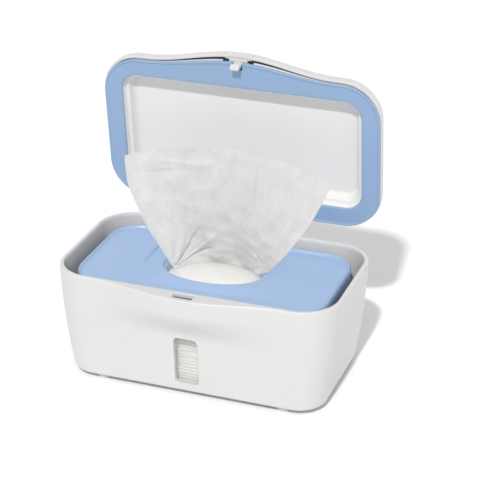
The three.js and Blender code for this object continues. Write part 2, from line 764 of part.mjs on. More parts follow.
function lidShell() {
  let solid = shellBody(0, LID_HEIGHT).subtract(shellBody(LID_WALL, LID_HEIGHT - LID_WALL));
  [-1, 1].forEach((side) => {
    solid = solid.add(toSolid(sidePlate(armShape(), side * station.arm, ARM_WIDTH - 2 * SEAT_GAP)));
    solid = solid.subtract(toSolid(axle(side * station.arm, PIN_RADIUS + SEAT_GAP, ARM_WIDTH)));
  });
  const window = frontBar(
    BUTTON_WIDTH + 2 * SEAT_GAP, BUTTON_HEIGHT + 2 * SEAT_GAP, BUTTON_HEIGHT / 2, shellFront + 2 * LID_WALL,
    3 * LID_WALL, buttonMiddle,
  );
  return toGeometry(solid.subtract(toSolid(window)));
}

function mouthRing(z, inset) {
  const halfLength = RIM_HALF_LENGTH - MOUTH_BORDER_ENDS;
  const halfDepth = RIM_HALF_DEPTH - MOUTH_BORDER_SIDES;
  return ring(halfLength - inset, halfDepth - inset, MOUTH_CORNER - inset, z);
}

const hookFront = slotFront + SEAT_GAP + HOOK_TOOTH / 2;
const hookBack = hookFront + HOOK_SHANK;
const latchSpringBack = hookBack + LATCH_SPRING_LENGTH + 2 * SEAT_GAP;

// Opening that the hook passes, long enough for the button's travel
function hookOpening(margin) {
  const depth = HOOK_SHANK + HOOK_TOOTH + BUTTON_TRAVEL + 2 * margin;
  return toSolid(block(
    0, hookFront - HOOK_TOOTH - margin + depth / 2, LID_PLANE - TUCK, SHELL_PLANE + LID_HEIGHT / 2,
    HOOK_WIDTH + 2 * margin, depth,
  ));
}

// White pan that lines the lid: a flange behind the seal and a stepped recess
function lidPan() {
  const flange = (z, inset) => ring(
    RIM_HALF_LENGTH - inset, RIM_HALF_DEPTH - inset, RIM_CORNER - inset, z, GASKET_SWELL - PAN_FLANGE_INSET / 2,
  );
  const low = SHELL_PLANE;
  const plate = toSolid(loft([flange(low, PAN_FLANGE_INSET), flange(low + PAN_SHEET, PAN_FLANGE_INSET)]));
  const side = (depth, inset) => mouthRing(low + depth, inset + (PAN_DRAFT * depth) / PAN_DEPTH);
  const recess = (grow, deeper, start) => toSolid(loft([
    mouthRing(start, -grow),
    side(PAN_STEP_DEPTH + deeper, -grow),
    side(PAN_STEP_DEPTH + PAN_STEP_EASE + deeper, PAN_STEP_WIDTH - grow),
    side(PAN_DEPTH - PAN_FLOOR_EASE + deeper, PAN_STEP_WIDTH - grow),
    side(PAN_DEPTH + deeper, PAN_STEP_WIDTH + PAN_FLOOR_EASE - grow),
  ]));
  const solid = plate.add(recess(PAN_SHEET, PAN_SHEET, low)).subtract(recess(0, 0, low - TUCK));
  const carriageRoom = toSolid(block(
    0, shellFront, low - TUCK, low + PAN_SHEET + TUCK, CARRIAGE_WIDTH + 2 * SEAT_GAP, carriageReach,
  ));
  const stop = toSolid(block(
    0, latchSpringBack + SPRING_STOP / 2, low + TUCK, low + CARRIAGE_HEIGHT + TUCK,
    CARRIAGE_WIDTH / 2, SPRING_STOP,
  ));
  return toGeometry(solid.subtract(carriageRoom).add(stop));
}

// Soft ring: flat inside, thinned to a lip along its outer edge
function lidGasket() {
  const sections = [];
  const outline = (inset, z) => ring(
    RIM_HALF_LENGTH + LID_OVERHANG - inset, RIM_HALF_DEPTH + LID_OVERHANG - inset, RIM_CORNER, z, GASKET_SWELL,
  );
  const outer = outline(GASKET_INSET, 0);
  const inner = mouthRing(0, 0);
  outer.forEach((edge, i) => {
    sections.push(SEAL_PROFILE.map(([band, up]) => new THREE.Vector3(
      lerp(edge.x, inner[i].x, band), lerp(edge.y, inner[i].y, band), LID_PLANE + GASKET_THICKNESS * up,
    )));
  });
  return toGeometry(toSolid(ringBody(sections)).subtract(hookOpening(GASKET_LIP / 2)));
}

const carriageFront = shellFront + LID_WALL + CARRIAGE_CLEAR;
const carriageReach = 2 * (hookBack - shellFront + BUTTON_TRAVEL + CARRIAGE_CLEAR);

// Button in the lid's front with its carriage and the hook below, one moulding
function latchButton() {
  const low = SHELL_PLANE + SEAT_GAP;
  const face = frontBar(
    BUTTON_WIDTH, BUTTON_HEIGHT, BUTTON_HEIGHT / 2 - ARC_TRIM, carriageFront + TUCK,
    carriageFront + TUCK - shellFront + BUTTON_PROUD, buttonMiddle,
  );
  const carriageLength = hookBack - carriageFront;
  const carriage = block(
    0, carriageFront + carriageLength / 2, low, low + CARRIAGE_HEIGHT, CARRIAGE_WIDTH, carriageLength,
  );
  const toothLow = TUB_HEIGHT - LEDGE_THICKNESS - SEAT_GAP - HOOK_TOOTH_HEIGHT;
  const shape = new THREE.Shape();
  shape.moveTo(hookBack, low + TUCK);
  shape.lineTo(hookBack, toothLow);
  shape.lineTo(hookFront, toothLow);
  shape.lineTo(hookFront - HOOK_TOOTH, toothLow + HOOK_NOSE);
  shape.lineTo(hookFront - HOOK_TOOTH, toothLow + HOOK_TOOTH_HEIGHT);
  shape.lineTo(hookFront, toothLow + HOOK_TOOTH_HEIGHT);
  shape.lineTo(hookFront, low + TUCK);
  return toGeometry(toSolid(face).add(toSolid(carriage)).add(toSolid(sidePlate(shape, 0, HOOK_WIDTH))));
}

// Wire wound round an axis along Z, starting at z = 0
function coil(radius, wire, turns, pitch) {
  const points = [];
  const steps = turns * TURN_STEPS;
  for (let step = 0; step <= steps; step += 1) {
    const turn = step / TURN_STEPS;
    const angle = turn * 4 * QUARTER;
    points.push(new THREE.Vector3(radius * Math.cos(angle), radius * Math.sin(angle), turn * pitch));
  }
  const section = new THREE.Shape();
  section.absarc(0, 0, wire / 2, 0, 4 * QUARTER);
  return new THREE.ExtrudeGeometry(section, {
    steps, curveSegments: 3, extrudePath: new THREE.CatmullRomCurve3(points),
  });
}

function hingePin() {
  const length = SPRING_ROOM + ARM_WIDTH + 2 * EAR_THICKNESS + PIN_HEAD;
  const profile = [
    [0, 0], [PIN_HEAD_RADIUS, 0], [PIN_HEAD_RADIUS, PIN_HEAD - SEAT_GAP], [PIN_RADIUS, PIN_HEAD - SEAT_GAP],
    [PIN_RADIUS, length], [0, length],
  ].map(([r, y]) => new THREE.Vector2(r, y));
  return new THREE.LatheGeometry(profile, ROUND_SIDES);
}

// Assembly

const dispenser = new THREE.Group();
const lidGroup = new THREE.Group();

function addPiece(parent, name, geometry, material) {
  const mesh = new THREE.Mesh(geometry, material);
  mesh.name = name;
  parent.add(mesh);
  return mesh;
}

addPiece(dispenser, 'tub', tubBody(), materials.body);
addPiece(dispenser, 'window_pane', windowPane(), materials.clear);
footPlaces().forEach(({ x, y, name }) => {
  addPiece(dispenser, name, foot(), materials.rubber).position.set(x, y, 0);
});
addPiece(dispenser, 'wipe_stack', wipeStack(), materials.wipe);
addPiece(dispenser, 'plate_base', plateBase(), materials.body);
[[-1, 'plate_weight_left'], [1, 'plate_weight_right']].forEach(([side, name]) => {
  const weight = addPiece(dispenser, name, plateWeight(), materials.steel);
  weight.position.set(
    (side * (holeHalf.x + PLATE_HALF_LENGTH)) / 2, 0, plateUnderside + PLATE_BASE_SHEET + SEAT_GAP,
  );
});
addPiece(dispenser, 'plate_cover', plateCover(), materials.blue);
addPiece(dispenser, 'pulled_wipe', pulledWipe(), materials.wipe);
[[-1, 'left'], [1, 'right']].forEach(([side, word]) => {
  const pin = addPiece(dispenser, `hinge_pin_${word}`, hingePin(), materials.steel);
  pin.rotation.z = side * QUARTER;
  pin.position.set(side * (station.outerEar + EAR_THICKNESS / 2 + PIN_HEAD), HINGE_Y, HINGE_Z);
  const pitch = (SPRING_ROOM - 2 * SPRING_CLEARANCE - SPRING_WIRE) / SPRING_TURNS;
  const radius = PIN_RADIUS + SPRING_CLEARANCE + SPRING_WIRE / 2;
  const spring = addPiece(
    dispenser, `lid_spring_${word}`, coil(radius, SPRING_WIRE, SPRING_TURNS, pitch), materials.steel,
  );
  spring.rotation.y = QUARTER;
  spring.position.set(side * station.spring - (pitch * SPRING_TURNS) / 2, HINGE_Y, HINGE_Z);
});

addPiece(lidGroup, 'lid_shell', lidShell(), materials.body);
addPiece(lidGroup, 'lid_pan', lidPan(), materials.body);
addPiece(lidGroup, 'lid_gasket', lidGasket(), materials.seal);
addPiece(lidGroup, 'latch_button', latchButton(), materials.body);
const latchPitch = (LATCH_SPRING_LENGTH - LATCH_SPRING_WIRE) / LATCH_SPRING_TURNS;
const latchSpring = addPiece(
  lidGroup, 'latch_spring', coil(LATCH_SPRING_RADIUS, LATCH_SPRING_WIRE, LATCH_SPRING_TURNS, latchPitch),
  materials.steel,
);
latchSpring.rotation.x = -QUARTER;
latchSpring.position.set(
  0, hookBack + SEAT_GAP + LATCH_SPRING_WIRE / 2,
  SHELL_PLANE + PAN_SHEET + SEAT_GAP + LATCH_SPRING_RADIUS + LATCH_SPRING_WIRE / 2,
);

// The lid turns open about the hinge's axis
const lidHinge = new THREE.Group();
lidGroup.position.set(0, -HINGE_Y, -HINGE_Z);
lidHinge.position.set(0, HINGE_Y, HINGE_Z);
lidHinge.rotation.x = -THREE.MathUtils.degToRad(OPEN_ANGLE);
lidHinge.add(lidGroup);
dispenser.add(lidHinge);

// The origin is the middle of the box round the whole dispenser, on the ground
dispenser.updateMatrixWorld(true);
const reach = new THREE.Box3().setFromObject(dispenser, true);
dispenser.position.set(-(reach.min.x + reach.max.x) / 2, -(reach.min.y + reach.max.y) / 2, -reach.min.z);
dispenser.updateMatrixWorld(true);

export default dispenser;
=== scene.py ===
import math

import bmesh
import bpy
import numpy as np
from mathutils import Matrix, Vector


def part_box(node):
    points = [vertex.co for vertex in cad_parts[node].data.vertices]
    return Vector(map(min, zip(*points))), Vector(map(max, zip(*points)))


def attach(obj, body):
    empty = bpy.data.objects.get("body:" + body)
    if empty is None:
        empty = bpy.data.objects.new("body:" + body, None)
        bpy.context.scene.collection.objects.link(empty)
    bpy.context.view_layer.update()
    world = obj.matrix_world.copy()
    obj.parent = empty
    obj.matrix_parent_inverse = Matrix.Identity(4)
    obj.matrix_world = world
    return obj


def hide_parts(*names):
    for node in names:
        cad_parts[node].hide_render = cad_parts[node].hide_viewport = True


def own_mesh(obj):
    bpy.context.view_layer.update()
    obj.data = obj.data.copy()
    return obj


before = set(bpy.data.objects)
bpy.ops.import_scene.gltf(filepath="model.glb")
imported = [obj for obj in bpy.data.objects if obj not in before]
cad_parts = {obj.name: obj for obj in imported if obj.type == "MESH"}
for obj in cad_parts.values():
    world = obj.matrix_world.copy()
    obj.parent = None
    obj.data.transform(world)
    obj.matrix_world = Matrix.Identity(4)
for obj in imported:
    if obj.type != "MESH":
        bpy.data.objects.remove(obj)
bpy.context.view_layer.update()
scene = bpy.context.scene

# Camera: a long lens a little to the right of the dispenser's front, looking down
# on it from the height of a person at a table.
VIEW_POINT = Vector((0.0177, 0.0282, 0.088))
VIEW_AZIMUTH = math.radians(19.8)
VIEW_ELEVATION = math.radians(26.17)
VIEW_DISTANCE = 1.348
LENS = 122.5

view_back = Vector((
    math.sin(VIEW_AZIMUTH) * math.cos(VIEW_ELEVATION),
    -math.cos(VIEW_AZIMUTH) * math.cos(VIEW_ELEVATION),
    math.sin(VIEW_ELEVATION),
))


def put_in_scene(name, data):
    """A new object in the scene that holds a mesh, a lamp or a camera."""
    thing = bpy.data.objects.new(name, data)
    scene.collection.objects.link(thing)
    return thing


camera = put_in_scene("camera", bpy.data.cameras.new("camera"))
camera.data.lens = LENS
camera.data.sensor_width = 36.0
camera.location = VIEW_POINT + view_back * VIEW_DISTANCE
camera.rotation_mode = "QUATERNION"
camera.rotation_quaternion = (-view_back).to_track_quat("-Z", "Y")
scene.camera = camera

# Studio: a white sweep of floor that rises behind, one bright and distant lamp high in
# front, a broad weak one at the right, and pale light all round.
FLOOR_REACH = 4.0
SWEEP_START = 1.2
SWEEP_RISE = 2.0
SWEEP_STEPS = 40
KEY_PLACE = (0.22, -1.63, 1.86)
FILL_PLACE = (1.7, -0.5, 0.9)
ROOM_LIGHT = 0.62


def new_material(name):
    """A node material, a way to add a node to it with its inputs set or joined, by number or
    by name, and a way to set or join the inputs of its Principled shader."""
    material = bpy.data.materials.new(name)
    material.use_nodes = True
    tree = material.node_tree

    def fill(made, inputs):
        for key, value in inputs.items():
            socket = made.inputs[key if isinstance(key, int) else key.replace("_", " ")]
            if isinstance(value, bpy.types.NodeSocket):
                tree.links.new(value, socket)
            else:
                socket.default_value = value
        return made

    def node(kind, settings=(), numbered=(), **named):
        made = tree.nodes.new(kind)
        for key, value in dict(settings).items():
            setattr(made, key, value)
        return fill(made, {**dict(numbered), **named})

    def look(**named):
        fill(tree.nodes["Principled BSDF"], named)

    return material, node, look


def floor_paper():
    """Matt white paper, a little cloudy."""
    material, node, look = new_material("floor_paper")
    place = node("ShaderNodeTexCoord").outputs["Object"]
    clouds = node("ShaderNodeTexNoise", Vector=place, Scale=1.5)
    tone = node("ShaderNodeMapRange", Value=clouds.outputs["Fac"], To_Min=0.90, To_Max=0.93).outputs[0]
    grey = node("ShaderNodeCombineColor", Red=tone, Green=tone, Blue=tone)
    look(Base_Color=grey.outputs[0], Roughness=0.9, Specular_IOR_Level=0.1)
    return material


def studio_sweep():
    """Flat to the sweep's start, then height grows with the square of the way behind it."""
    along = np.linspace(-FLOOR_REACH, FLOOR_REACH, SWEEP_STEPS + 1)
    x, y = np.meshgrid(np.array([-FLOOR_REACH, FLOOR_REACH]), along)
    z = SWEEP_RISE * (np.clip(y - SWEEP_START, 0, None) / (FLOOR_REACH - SWEEP_START)) ** 2
    corner = np.arange(SWEEP_STEPS) * 2
    faces = np.stack([corner, corner + 1, corner + 3, corner + 2], 1)
    mesh = bpy.data.meshes.new("studio_sweep")
    mesh.from_pydata(np.stack([x, y, z], -1).reshape(-1, 3).tolist(), [], faces.tolist())
    mesh.shade_smooth()
    mesh.materials.append(floor_paper())
    return put_in_scene("studio_sweep", mesh)


def lamp_at(name, kind, place, strength):
    """A lamp that looks at the dispenser from a place."""
    lamp = put_in_scene(name, bpy.data.lights.new(name, kind))
    lamp.data.energy = strength
    lamp.location = place
    lamp.rotation_mode = "QUATERNION"
    lamp.rotation_quaternion = (VIEW_POINT - Vector(place)).to_track_quat("-Z", "Y")
    return lamp.data


studio_sweep()
lamp_at("key_lamp", "SUN", KEY_PLACE, 2.25).angle = math.radians(3)
lamp_at("fill_lamp", "AREA", FILL_PLACE, 2.0).size = 1.4
scene.world = bpy.data.worlds.new("pale_room")
scene.world.use_nodes = True
room_light = scene.world.node_tree.nodes["Background"]
room_light.inputs["Color"].default_value = (1.0, 1.0, 1.0, 1.0)
room_light.inputs["Strength"].default_value = ROOM_LIGHT
scene.view_settings.view_transform = "Standard"

# Tub: one thin-walled moulding in satin white plastic. Its walls curve in towards the
# base, its front swells out to a ledge with the latch's slot, and two pairs of ears at
# the back carry the hinge pins. Sizes are in millimetres from the tub's middle.
MM = 0.001
TUB_HEIGHT = 92.0
FOOT_HEIGHT = 4.0
RIM_HALF = (114.0, 62.5)
RIM_CORNER = 30.6
BASE_CORNER = 22.0
DRAFT = (9.7, 5.1)
DRAFT_CURVE = 1.6
TUB_WALL = 3.4
TUB_FLOOR = 3.0
FLOOR_RINGS_IN = 45.0
RIM_ROUND = 1.3
BASE_ROUND = 3.0
FLOOR_ROUND = 4.0
SWELL_REACH = 11.0
SWELL_SPREAD = 80.0
SWELL_DROP = 13.0
SWELL_FADE = 39.0
LEDGE_THICKNESS = 3.0
SLOT_HALF = (8.0, 3.2)
SLOT_FRONT = -68.9
WINDOW_HALF = (9.6, 20.3)
WINDOW_MIDDLE = (-1.2, 31.9)
WINDOW_CORNER = 3.6
HINGE_Y = 71.3
HINGE_Z = 96.9
KNUCKLE_RADIUS = 4.5
PIN_RADIUS = 1.6
GAP = 0.3
EDGE = 0.3
EAR_THICKNESS = 3.6
EAR_PLACES = (19.9, 40.1)
EAR_DROP = 26.0
HINGE_PLACE = 30.0
HINGE_BORE_HALF = 14.0
FOOT_PLACES = (74.5, 47.0)
FOOT_STEM = 2.2
ARC_STEPS = 22
SIDE_STEPS = 60
CORNERS = np.array([(1, 1), (-1, 1), (-1, -1), (1, -1)], float)

foot_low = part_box("foot_front_left")[0].y
foot_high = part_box("foot_back_left")[1].y
TUB_MIDDLE_Y = (foot_low + foot_high) / 2


def smooth_step(t):
    """Nothing up to 0, one past 1, and a smooth climb between."""
    t = np.clip(t, 0.0, 1.0)
    return t * t * (3.0 - 2.0 * t)


def blend(a, b, t):
    """From a at t 0 to b at t 1."""
    return a + (b - a) * t


def curve_through(points, t):
    """A Catmull-Rom curve through the points, t from 0 at the first to 1 at the last."""
    points = np.asarray(points, float)
    padded = np.concatenate([[2 * points[0] - points[1]], points, [2 * points[-1] - points[-2]]])
    place = np.clip(t, 0, 1) * (len(points) - 1)
    first = np.minimum(place.astype(int), len(points) - 2)
    f = (place - first)[..., None]
    a, b, c, d = (padded[first + k] for k in range(4))
    return b + 0.5 * f * (c - a + f * (2 * a - 5 * b + 4 * c - d + f * (3 * (b - c) + d - a)))


def outline_stations(arc_steps=ARC_STEPS, side_steps=SIDE_STEPS):
    """Once round a rounded rectangle: where each station stands between the corner
    centres, -1 to 1 each way, and the angle that it faces."""
    arc = np.linspace(0, 1, arc_steps, endpoint=False)
    side = np.linspace(0, 1, side_steps, endpoint=False)
    stands = []
    angles = []
    for quarter in range(4):
        here = CORNERS[quarter]
        there = CORNERS[(quarter + 1) % 4]
        stands.append(np.repeat([here], arc_steps, 0))
        stands.append(here + side[:, None] * (there - here))
        angles.append((quarter + arc) * math.pi / 2)
        angles.append(np.full(side_steps, (quarter + 1) * math.pi / 2))
    return np.concatenate(stands).T, np.concatenate(angles)


def rounded_rectangle(half_width, half_height, corner, stations=outline_stations()):
    """Corner centre plus the corner's radius towards the facing angle, one row for each size."""
    (stand_x, stand_y), angle = stations
    half_width, half_height, corner = (
        np.atleast_1d(v).astype(float)[:, None] for v in (half_width, half_height, corner)
    )
    across = stand_x * (half_width - corner) + corner * np.cos(angle)
    up = stand_y * (half_height - corner) + corner * np.sin(angle)
    return across, up


def swell_share(x):
    """Squared cosine along the front: one in the middle, nothing past the spread."""
    return np.where(np.abs(x) < SWELL_SPREAD, np.cos(math.pi / 2 * x / SWELL_SPREAD) ** 2, 0.0)


def points_from(x, y, z):
    """One array of points from three arrays that spread to the same shape."""
    return np.stack(np.broadcast_arrays(x, y, z), -1)


def level_rings(half_length, half_depth, corner, z, swell=0.0):
    """Level rounded rectangles at heights z, with the front side pushed out by the swelling."""
    sizes = np.broadcast_arrays(half_length, half_depth, corner, z, swell)
    half_length, half_depth, corner, z, swell = (np.atleast_1d(v) for v in sizes)
    x, y = rounded_rectangle(half_length, half_depth, corner)
    y = np.where(y < 0, y - swell[:, None] * swell_share(x), y)
    return points_from(x, y, z[:, None])


def swell_at(z):
    """How far the front stands out at a height: full at the ledge, fading out below it."""
    below = TUB_HEIGHT - z
    return SWELL_REACH * (1 - smooth_step((below - SWELL_DROP) / (SWELL_FADE - SWELL_DROP)))


def tub_lean(z):
    """Share of the draft at a height: nothing at the rim, all of it at the base."""
    return np.clip((TUB_HEIGHT - z) / (TUB_HEIGHT - FOOT_HEIGHT), 0, None)


def tub_rings(z, inset, swell):
    """The tub's outline at heights z, pulled in by the inset and by its curved draft."""
    drop = tub_lean(z)
    return level_rings(
        RIM_HALF[0] - DRAFT[0] * drop ** DRAFT_CURVE - inset,
        RIM_HALF[1] - DRAFT[1] * drop ** DRAFT_CURVE - inset,
        blend(RIM_CORNER, BASE_CORNER, drop) - inset,
        z,
        swell,
    )


def front_wall(x, z, inset):
    """How far forward the front wall stands at x and z, the inset behind its outer face."""
    return -(RIM_HALF[1] - DRAFT[1] * tub_lean(z) ** DRAFT_CURVE - inset) - swell_at(z) * swell_share(x)


def quarter_turn(steps):
    """Sine and cosine over a quarter turn, from 0 to 90 degrees."""
    angle = np.linspace(0, math.pi / 2, steps)
    return np.sin(angle), np.cos(angle)


def mesh_object(name, points, faces):
    """A mesh from points in millimetres round the tub's middle, its faces turned outwards."""
    points = np.asarray(points, float).reshape(-1, 3) * MM + (0, TUB_MIDDLE_Y, 0)
    mesh = bpy.data.meshes.new(name)
    mesh.from_pydata(points.tolist(), [], faces)
    merged = bmesh.new()
    merged.from_mesh(mesh)
    bmesh.ops.remove_doubles(merged, verts=merged.verts, dist=2e-6)
    if merged.calc_volume(signed=True) < 0:
        bmesh.ops.reverse_faces(merged, faces=merged.faces)
    merged.to_mesh(mesh)
    merged.free()
    return put_in_scene(name, mesh)


def skin(name, rows, ring=False):
    """A closed surface over rows of points that each go once round. A ring's last row joins
    its first, and otherwise each end row closes in a point at its middle."""
    levels, count = rows.shape[:2]
    index = np.arange(levels * count).reshape(levels, count)
    upper = np.roll(index, -1, 0) if ring else index[1:]
    lower = index if ring else index[:-1]
    quads = np.stack([lower, np.roll(lower, -1, 1), np.roll(upper, -1, 1), upper], -1).reshape(-1, 4)
    points = rows.reshape(-1, 3)
    faces = quads.tolist()
    if not ring:
        points = np.concatenate([points, rows[[0, -1]].mean(1)])
        first = np.stack([np.full(count, len(points) - 2), np.roll(index[0], -1), index[0]], -1)
        last = np.stack([np.full(count, len(points) - 1), index[-1], np.roll(index[-1], -1)], -1)
        faces += first.tolist() + last.tolist()
    return mesh_object(name, points, faces)


def lathe(name, radius, height, centre, axis=2, steps=40):
    """A profile of radius and height turned once round a line through the centre along an axis."""
    turn = np.linspace(0, 2 * math.pi, steps, endpoint=False)
    radius, height = (np.asarray(v, float)[:, None] for v in (radius, height))
    parts = [radius * np.cos(turn), radius * np.sin(turn), np.broadcast_to(height, (len(height), steps))]
    rows = np.stack([parts[(k - axis - 1) % 3] for k in range(3)], -1)
    return skin(name, rows + np.asarray(centre, float))


def slab(name, outline, x, thickness, soft_edge):
    """A side plate from an outline in the YZ plane, its edges rounded off."""
    outline = np.asarray(outline, float)
    middle = outline.mean(0)
    shrunk = middle + (outline - middle) * (1 - soft_edge / np.abs(outline - middle).max())
    sections = [
        (shrunk, -0.5, 0.0), (outline, -0.5, soft_edge), (outline, 0.5, -soft_edge), (shrunk, 0.5, 0.0),
    ]
    rows = [
        np.column_stack([np.full(len(outline), x + thickness * side + shift), line])
        for line, side, shift in sections
    ]
    return skin(name, np.array(rows))


def together(name, parts):
    """One mesh that holds all the parts, which go."""
    joined = bmesh.new()
    for part in parts:
        joined.from_mesh(part.data)
        bpy.data.objects.remove(part)
    mesh = bpy.data.meshes.new(name)
    joined.to_mesh(mesh)
    joined.free()
    return put_in_scene(name, mesh)


def plain(piece):
    """Works a piece's modifiers into its mesh."""
    graph = bpy.context.evaluated_depsgraph_get()
    done = bpy.data.meshes.new_from_object(piece.evaluated_get(graph))
    piece.modifiers.clear()
    piece.data = done
    return piece


def work(body, tool, operation):
    """Cuts the tool out of the body, or joins it on, and leaves a plain mesh."""
    change = body.modifiers.new(operation.lower(), "BOOLEAN")
    change.operation = operation
    change.solver = "EXACT"
    change.object = tool
    plain(body)
    bpy.data.objects.remove(tool)
    return body


def seat(piece, body, node, material, crease=32.0):
    """Gives a piece its material and its soft and sharp edges, and puts it in its node's place."""
    piece.data.shade_smooth()
    piece.data.set_sharp_from_angle(angle=math.radians(crease))
    piece.data.materials.clear()
    piece.data.materials.append(material)
    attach(piece, body)
    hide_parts(node)
    return piece


def two_tones(node, first, second, share):
    """A colour that goes from the first tone to the second with the share."""
    colours = {0: share, 6: (*first, 1.0), 7: (*second, 1.0)}
    return node("ShaderNodeMix", {"data_type": "RGBA"}, colours).outputs[2]


def moulded_plastic(name, colour, shade, roughness, grain, glow=0.0):
    """Moulded plastic: a slow drift between two near tones, a fine grain in the bump and
    roughness that wanders a little, as from handling."""
    material, node, look = new_material(name)
    place = node("ShaderNodeTexCoord").outputs["Object"]
    drift = node("ShaderNodeTexNoise", Vector=place, Scale=14.0, Detail=3.0)
    handled = node("ShaderNodeTexNoise", Vector=place, Scale=60.0, Detail=4.0)
    gloss = node(
        "ShaderNodeMapRange", Value=handled.outputs["Fac"], To_Min=roughness - 0.05, To_Max=roughness + 0.06
    )
    specks = node("ShaderNodeTexNoise", Vector=place, Scale=2600.0, Detail=2.0)
    bump = node("ShaderNodeBump", Height=specks.outputs["Fac"], Strength=grain, Distance=0.0002)
    look(
        Base_Color=two_tones(node, colour, shade, drift.outputs["Fac"]),
        Roughness=gloss.outputs[0],
        Normal=bump.outputs["Normal"],
        Subsurface_Weight=glow,
        Subsurface_Radius=(0.004, 0.004, 0.004),
        Subsurface_Scale=1.0,
    )
    return material


white_plastic = moulded_plastic(
    "white_plastic", (0.625, 0.62, 0.61), (0.60, 0.598, 0.592), 0.34, 0.12, glow=0.06
)


def tub_skin():
    """From the base's middle out and up the wall, over the rim, across the ledge, down the
    mouth, back under the ledge and down the inner wall to the floor's middle."""
    sine, cosine = quarter_turn(7)
    levels = []

    def add(z, inset, swell=None):
        z, inset = np.broadcast_arrays(np.atleast_1d(z).astype(float), inset)
        levels.append(np.stack([z, inset, swell_at(z) if swell is None else np.full(z.shape, swell)]))

    add(FOOT_HEIGHT, np.linspace(FLOOR_RINGS_IN, BASE_ROUND + 1, 8))
    add(FOOT_HEIGHT + BASE_ROUND * (1 - cosine), BASE_ROUND * (1 - sine))
    add(np.linspace(FOOT_HEIGHT + BASE_ROUND + 1.5, TUB_HEIGHT - RIM_ROUND - 0.4, 52), 0.0)
    add(TUB_HEIGHT - RIM_ROUND * (1 - sine), RIM_ROUND * (1 - cosine))
    add(TUB_HEIGHT, TUB_WALL - RIM_ROUND / 2, 0.0)
    add(TUB_HEIGHT - RIM_ROUND, TUB_WALL, 0.0)
    under = TUB_HEIGHT - LEDGE_THICKNESS
    add(under, TUB_WALL, 0.0)
    add(under, TUB_WALL, SWELL_REACH)
    floor = FOOT_HEIGHT + TUB_FLOOR
    add(np.linspace(under - 2, floor + FLOOR_ROUND + 2, 36), TUB_WALL)
    add(floor + FLOOR_ROUND * (1 - cosine[::-1]), TUB_WALL + FLOOR_ROUND * (1 - sine[::-1]))
    add(floor, np.linspace(TUB_WALL + FLOOR_ROUND + 1, FLOOR_RINGS_IN, 8))
    z, inset, swell = np.concatenate(levels, 1)
    return skin("tub_moulding", tub_rings(z, inset, swell))


def window_rings(grow, inset):
    """The window's rounded rectangle, grown all round, in the curve of the front wall and the
    inset behind the wall's face, one row for each pair of values."""
    half_width, half_height = WINDOW_HALF
    corner = np.maximum(WINDOW_CORNER + grow, 0.4)
    across, up = rounded_rectangle(half_width + grow, half_height + grow, corner, outline_stations(10, 16))
    across, z = across + WINDOW_MIDDLE[0], up + WINDOW_MIDDLE[1]
    return points_from(across, front_wall(across, z, inset[:, None]), z)


def window_cutter():
    """Straight through the wall, with its outer edge eased."""
    inset = np.array([TUB_WALL + 1.5, 1.0, 0.6, 0.3, 0.1, 0.0, -1.5])
    grow = np.array([0.0, 0.0, 0.05, 0.18, 0.34, 0.5, 2.0])
    return skin("window_cutter", window_rings(grow, inset))


def slot_cutter():
    """Down through the ledge, with its upper edge eased."""
    z = TUB_HEIGHT + np.array([1.0, 0.0, -0.15, -0.5, -LEDGE_THICKNESS - 1.0])
    grow = np.array([1.4, 0.4, 0.15, 0.0, 0.0])
    across, along = rounded_rectangle(
        SLOT_HALF[0] + grow, SLOT_HALF[1] + grow, 0.8 + grow, outline_stations(6, 8)
    )
    return skin("slot_cutter", points_from(across, along + SLOT_FRONT + SLOT_HALF[1], z[:, None]))


def knuckle_arc(start, end, steps=18):
    """Points round the hinge's axis in the YZ plane, angles in degrees."""
    angle = np.radians(np.linspace(start, end, steps))
    around = np.column_stack([np.cos(angle), np.sin(angle)])
    return np.array([HINGE_Y, HINGE_Z]) + KNUCKLE_RADIUS * around


def ear_outline():
    """From the wall low down, out to the knuckle, round it and back to the wall."""
    wall = RIM_HALF[1] - TUB_WALL / 2
    foot = [[wall - DRAFT[1] * (EAR_DROP / TUB_HEIGHT) ** DRAFT_CURVE, TUB_HEIGHT - EAR_DROP]]
    return np.concatenate([foot, knuckle_arc(-30, 180), [[wall, TUB_HEIGHT - KNUCKLE_RADIUS]]])


def hinge_bores(name):
    """A bar through each hinge station, a gap wider than the pin."""
    radius = [PIN_RADIUS + GAP] * 2
    reach = [-HINGE_BORE_HALF, HINGE_BORE_HALF]
    return together(name, [
        lathe(f"bore_{side}", radius, reach, (side * HINGE_PLACE, HINGE_Y, HINGE_Z), axis=0)
        for side in (-1, 1)
    ])


tub = tub_skin()
ears = together("ears", [
    slab(f"ear_{number}", ear_outline(), side * place, EAR_THICKNESS, 0.5)
    for number, (side, place) in enumerate((s, p) for s in (-1, 1) for p in EAR_PLACES)
])
work(tub, ears, "UNION")
stem_bores = [
    lathe(f"stem_bore_{x}_{y}", [FOOT_STEM + GAP] * 2, [FOOT_HEIGHT - 1.5, FOOT_HEIGHT + 1.5], (x, y, 0))
    for x in (-FOOT_PLACES[0], FOOT_PLACES[0]) for y in (-FOOT_PLACES[1], FOOT_PLACES[1])
]
cutters = together("tub_cutters", [window_cutter(), slot_cutter(), hinge_bores("bores"), *stem_bores])
work(tub, cutters, "DIFFERENCE")
seat(tub, "tub", "tub", white_plastic)

# Window pane: clear moulded plastic, pushed into the front wall from inside. Its plug
# fills the opening, a little behind the wall's face, and its flange is bonded behind.
PANE_RECESS = 1.1
PANE_FLANGE = 2.0
PANE_SHEET = 1.2


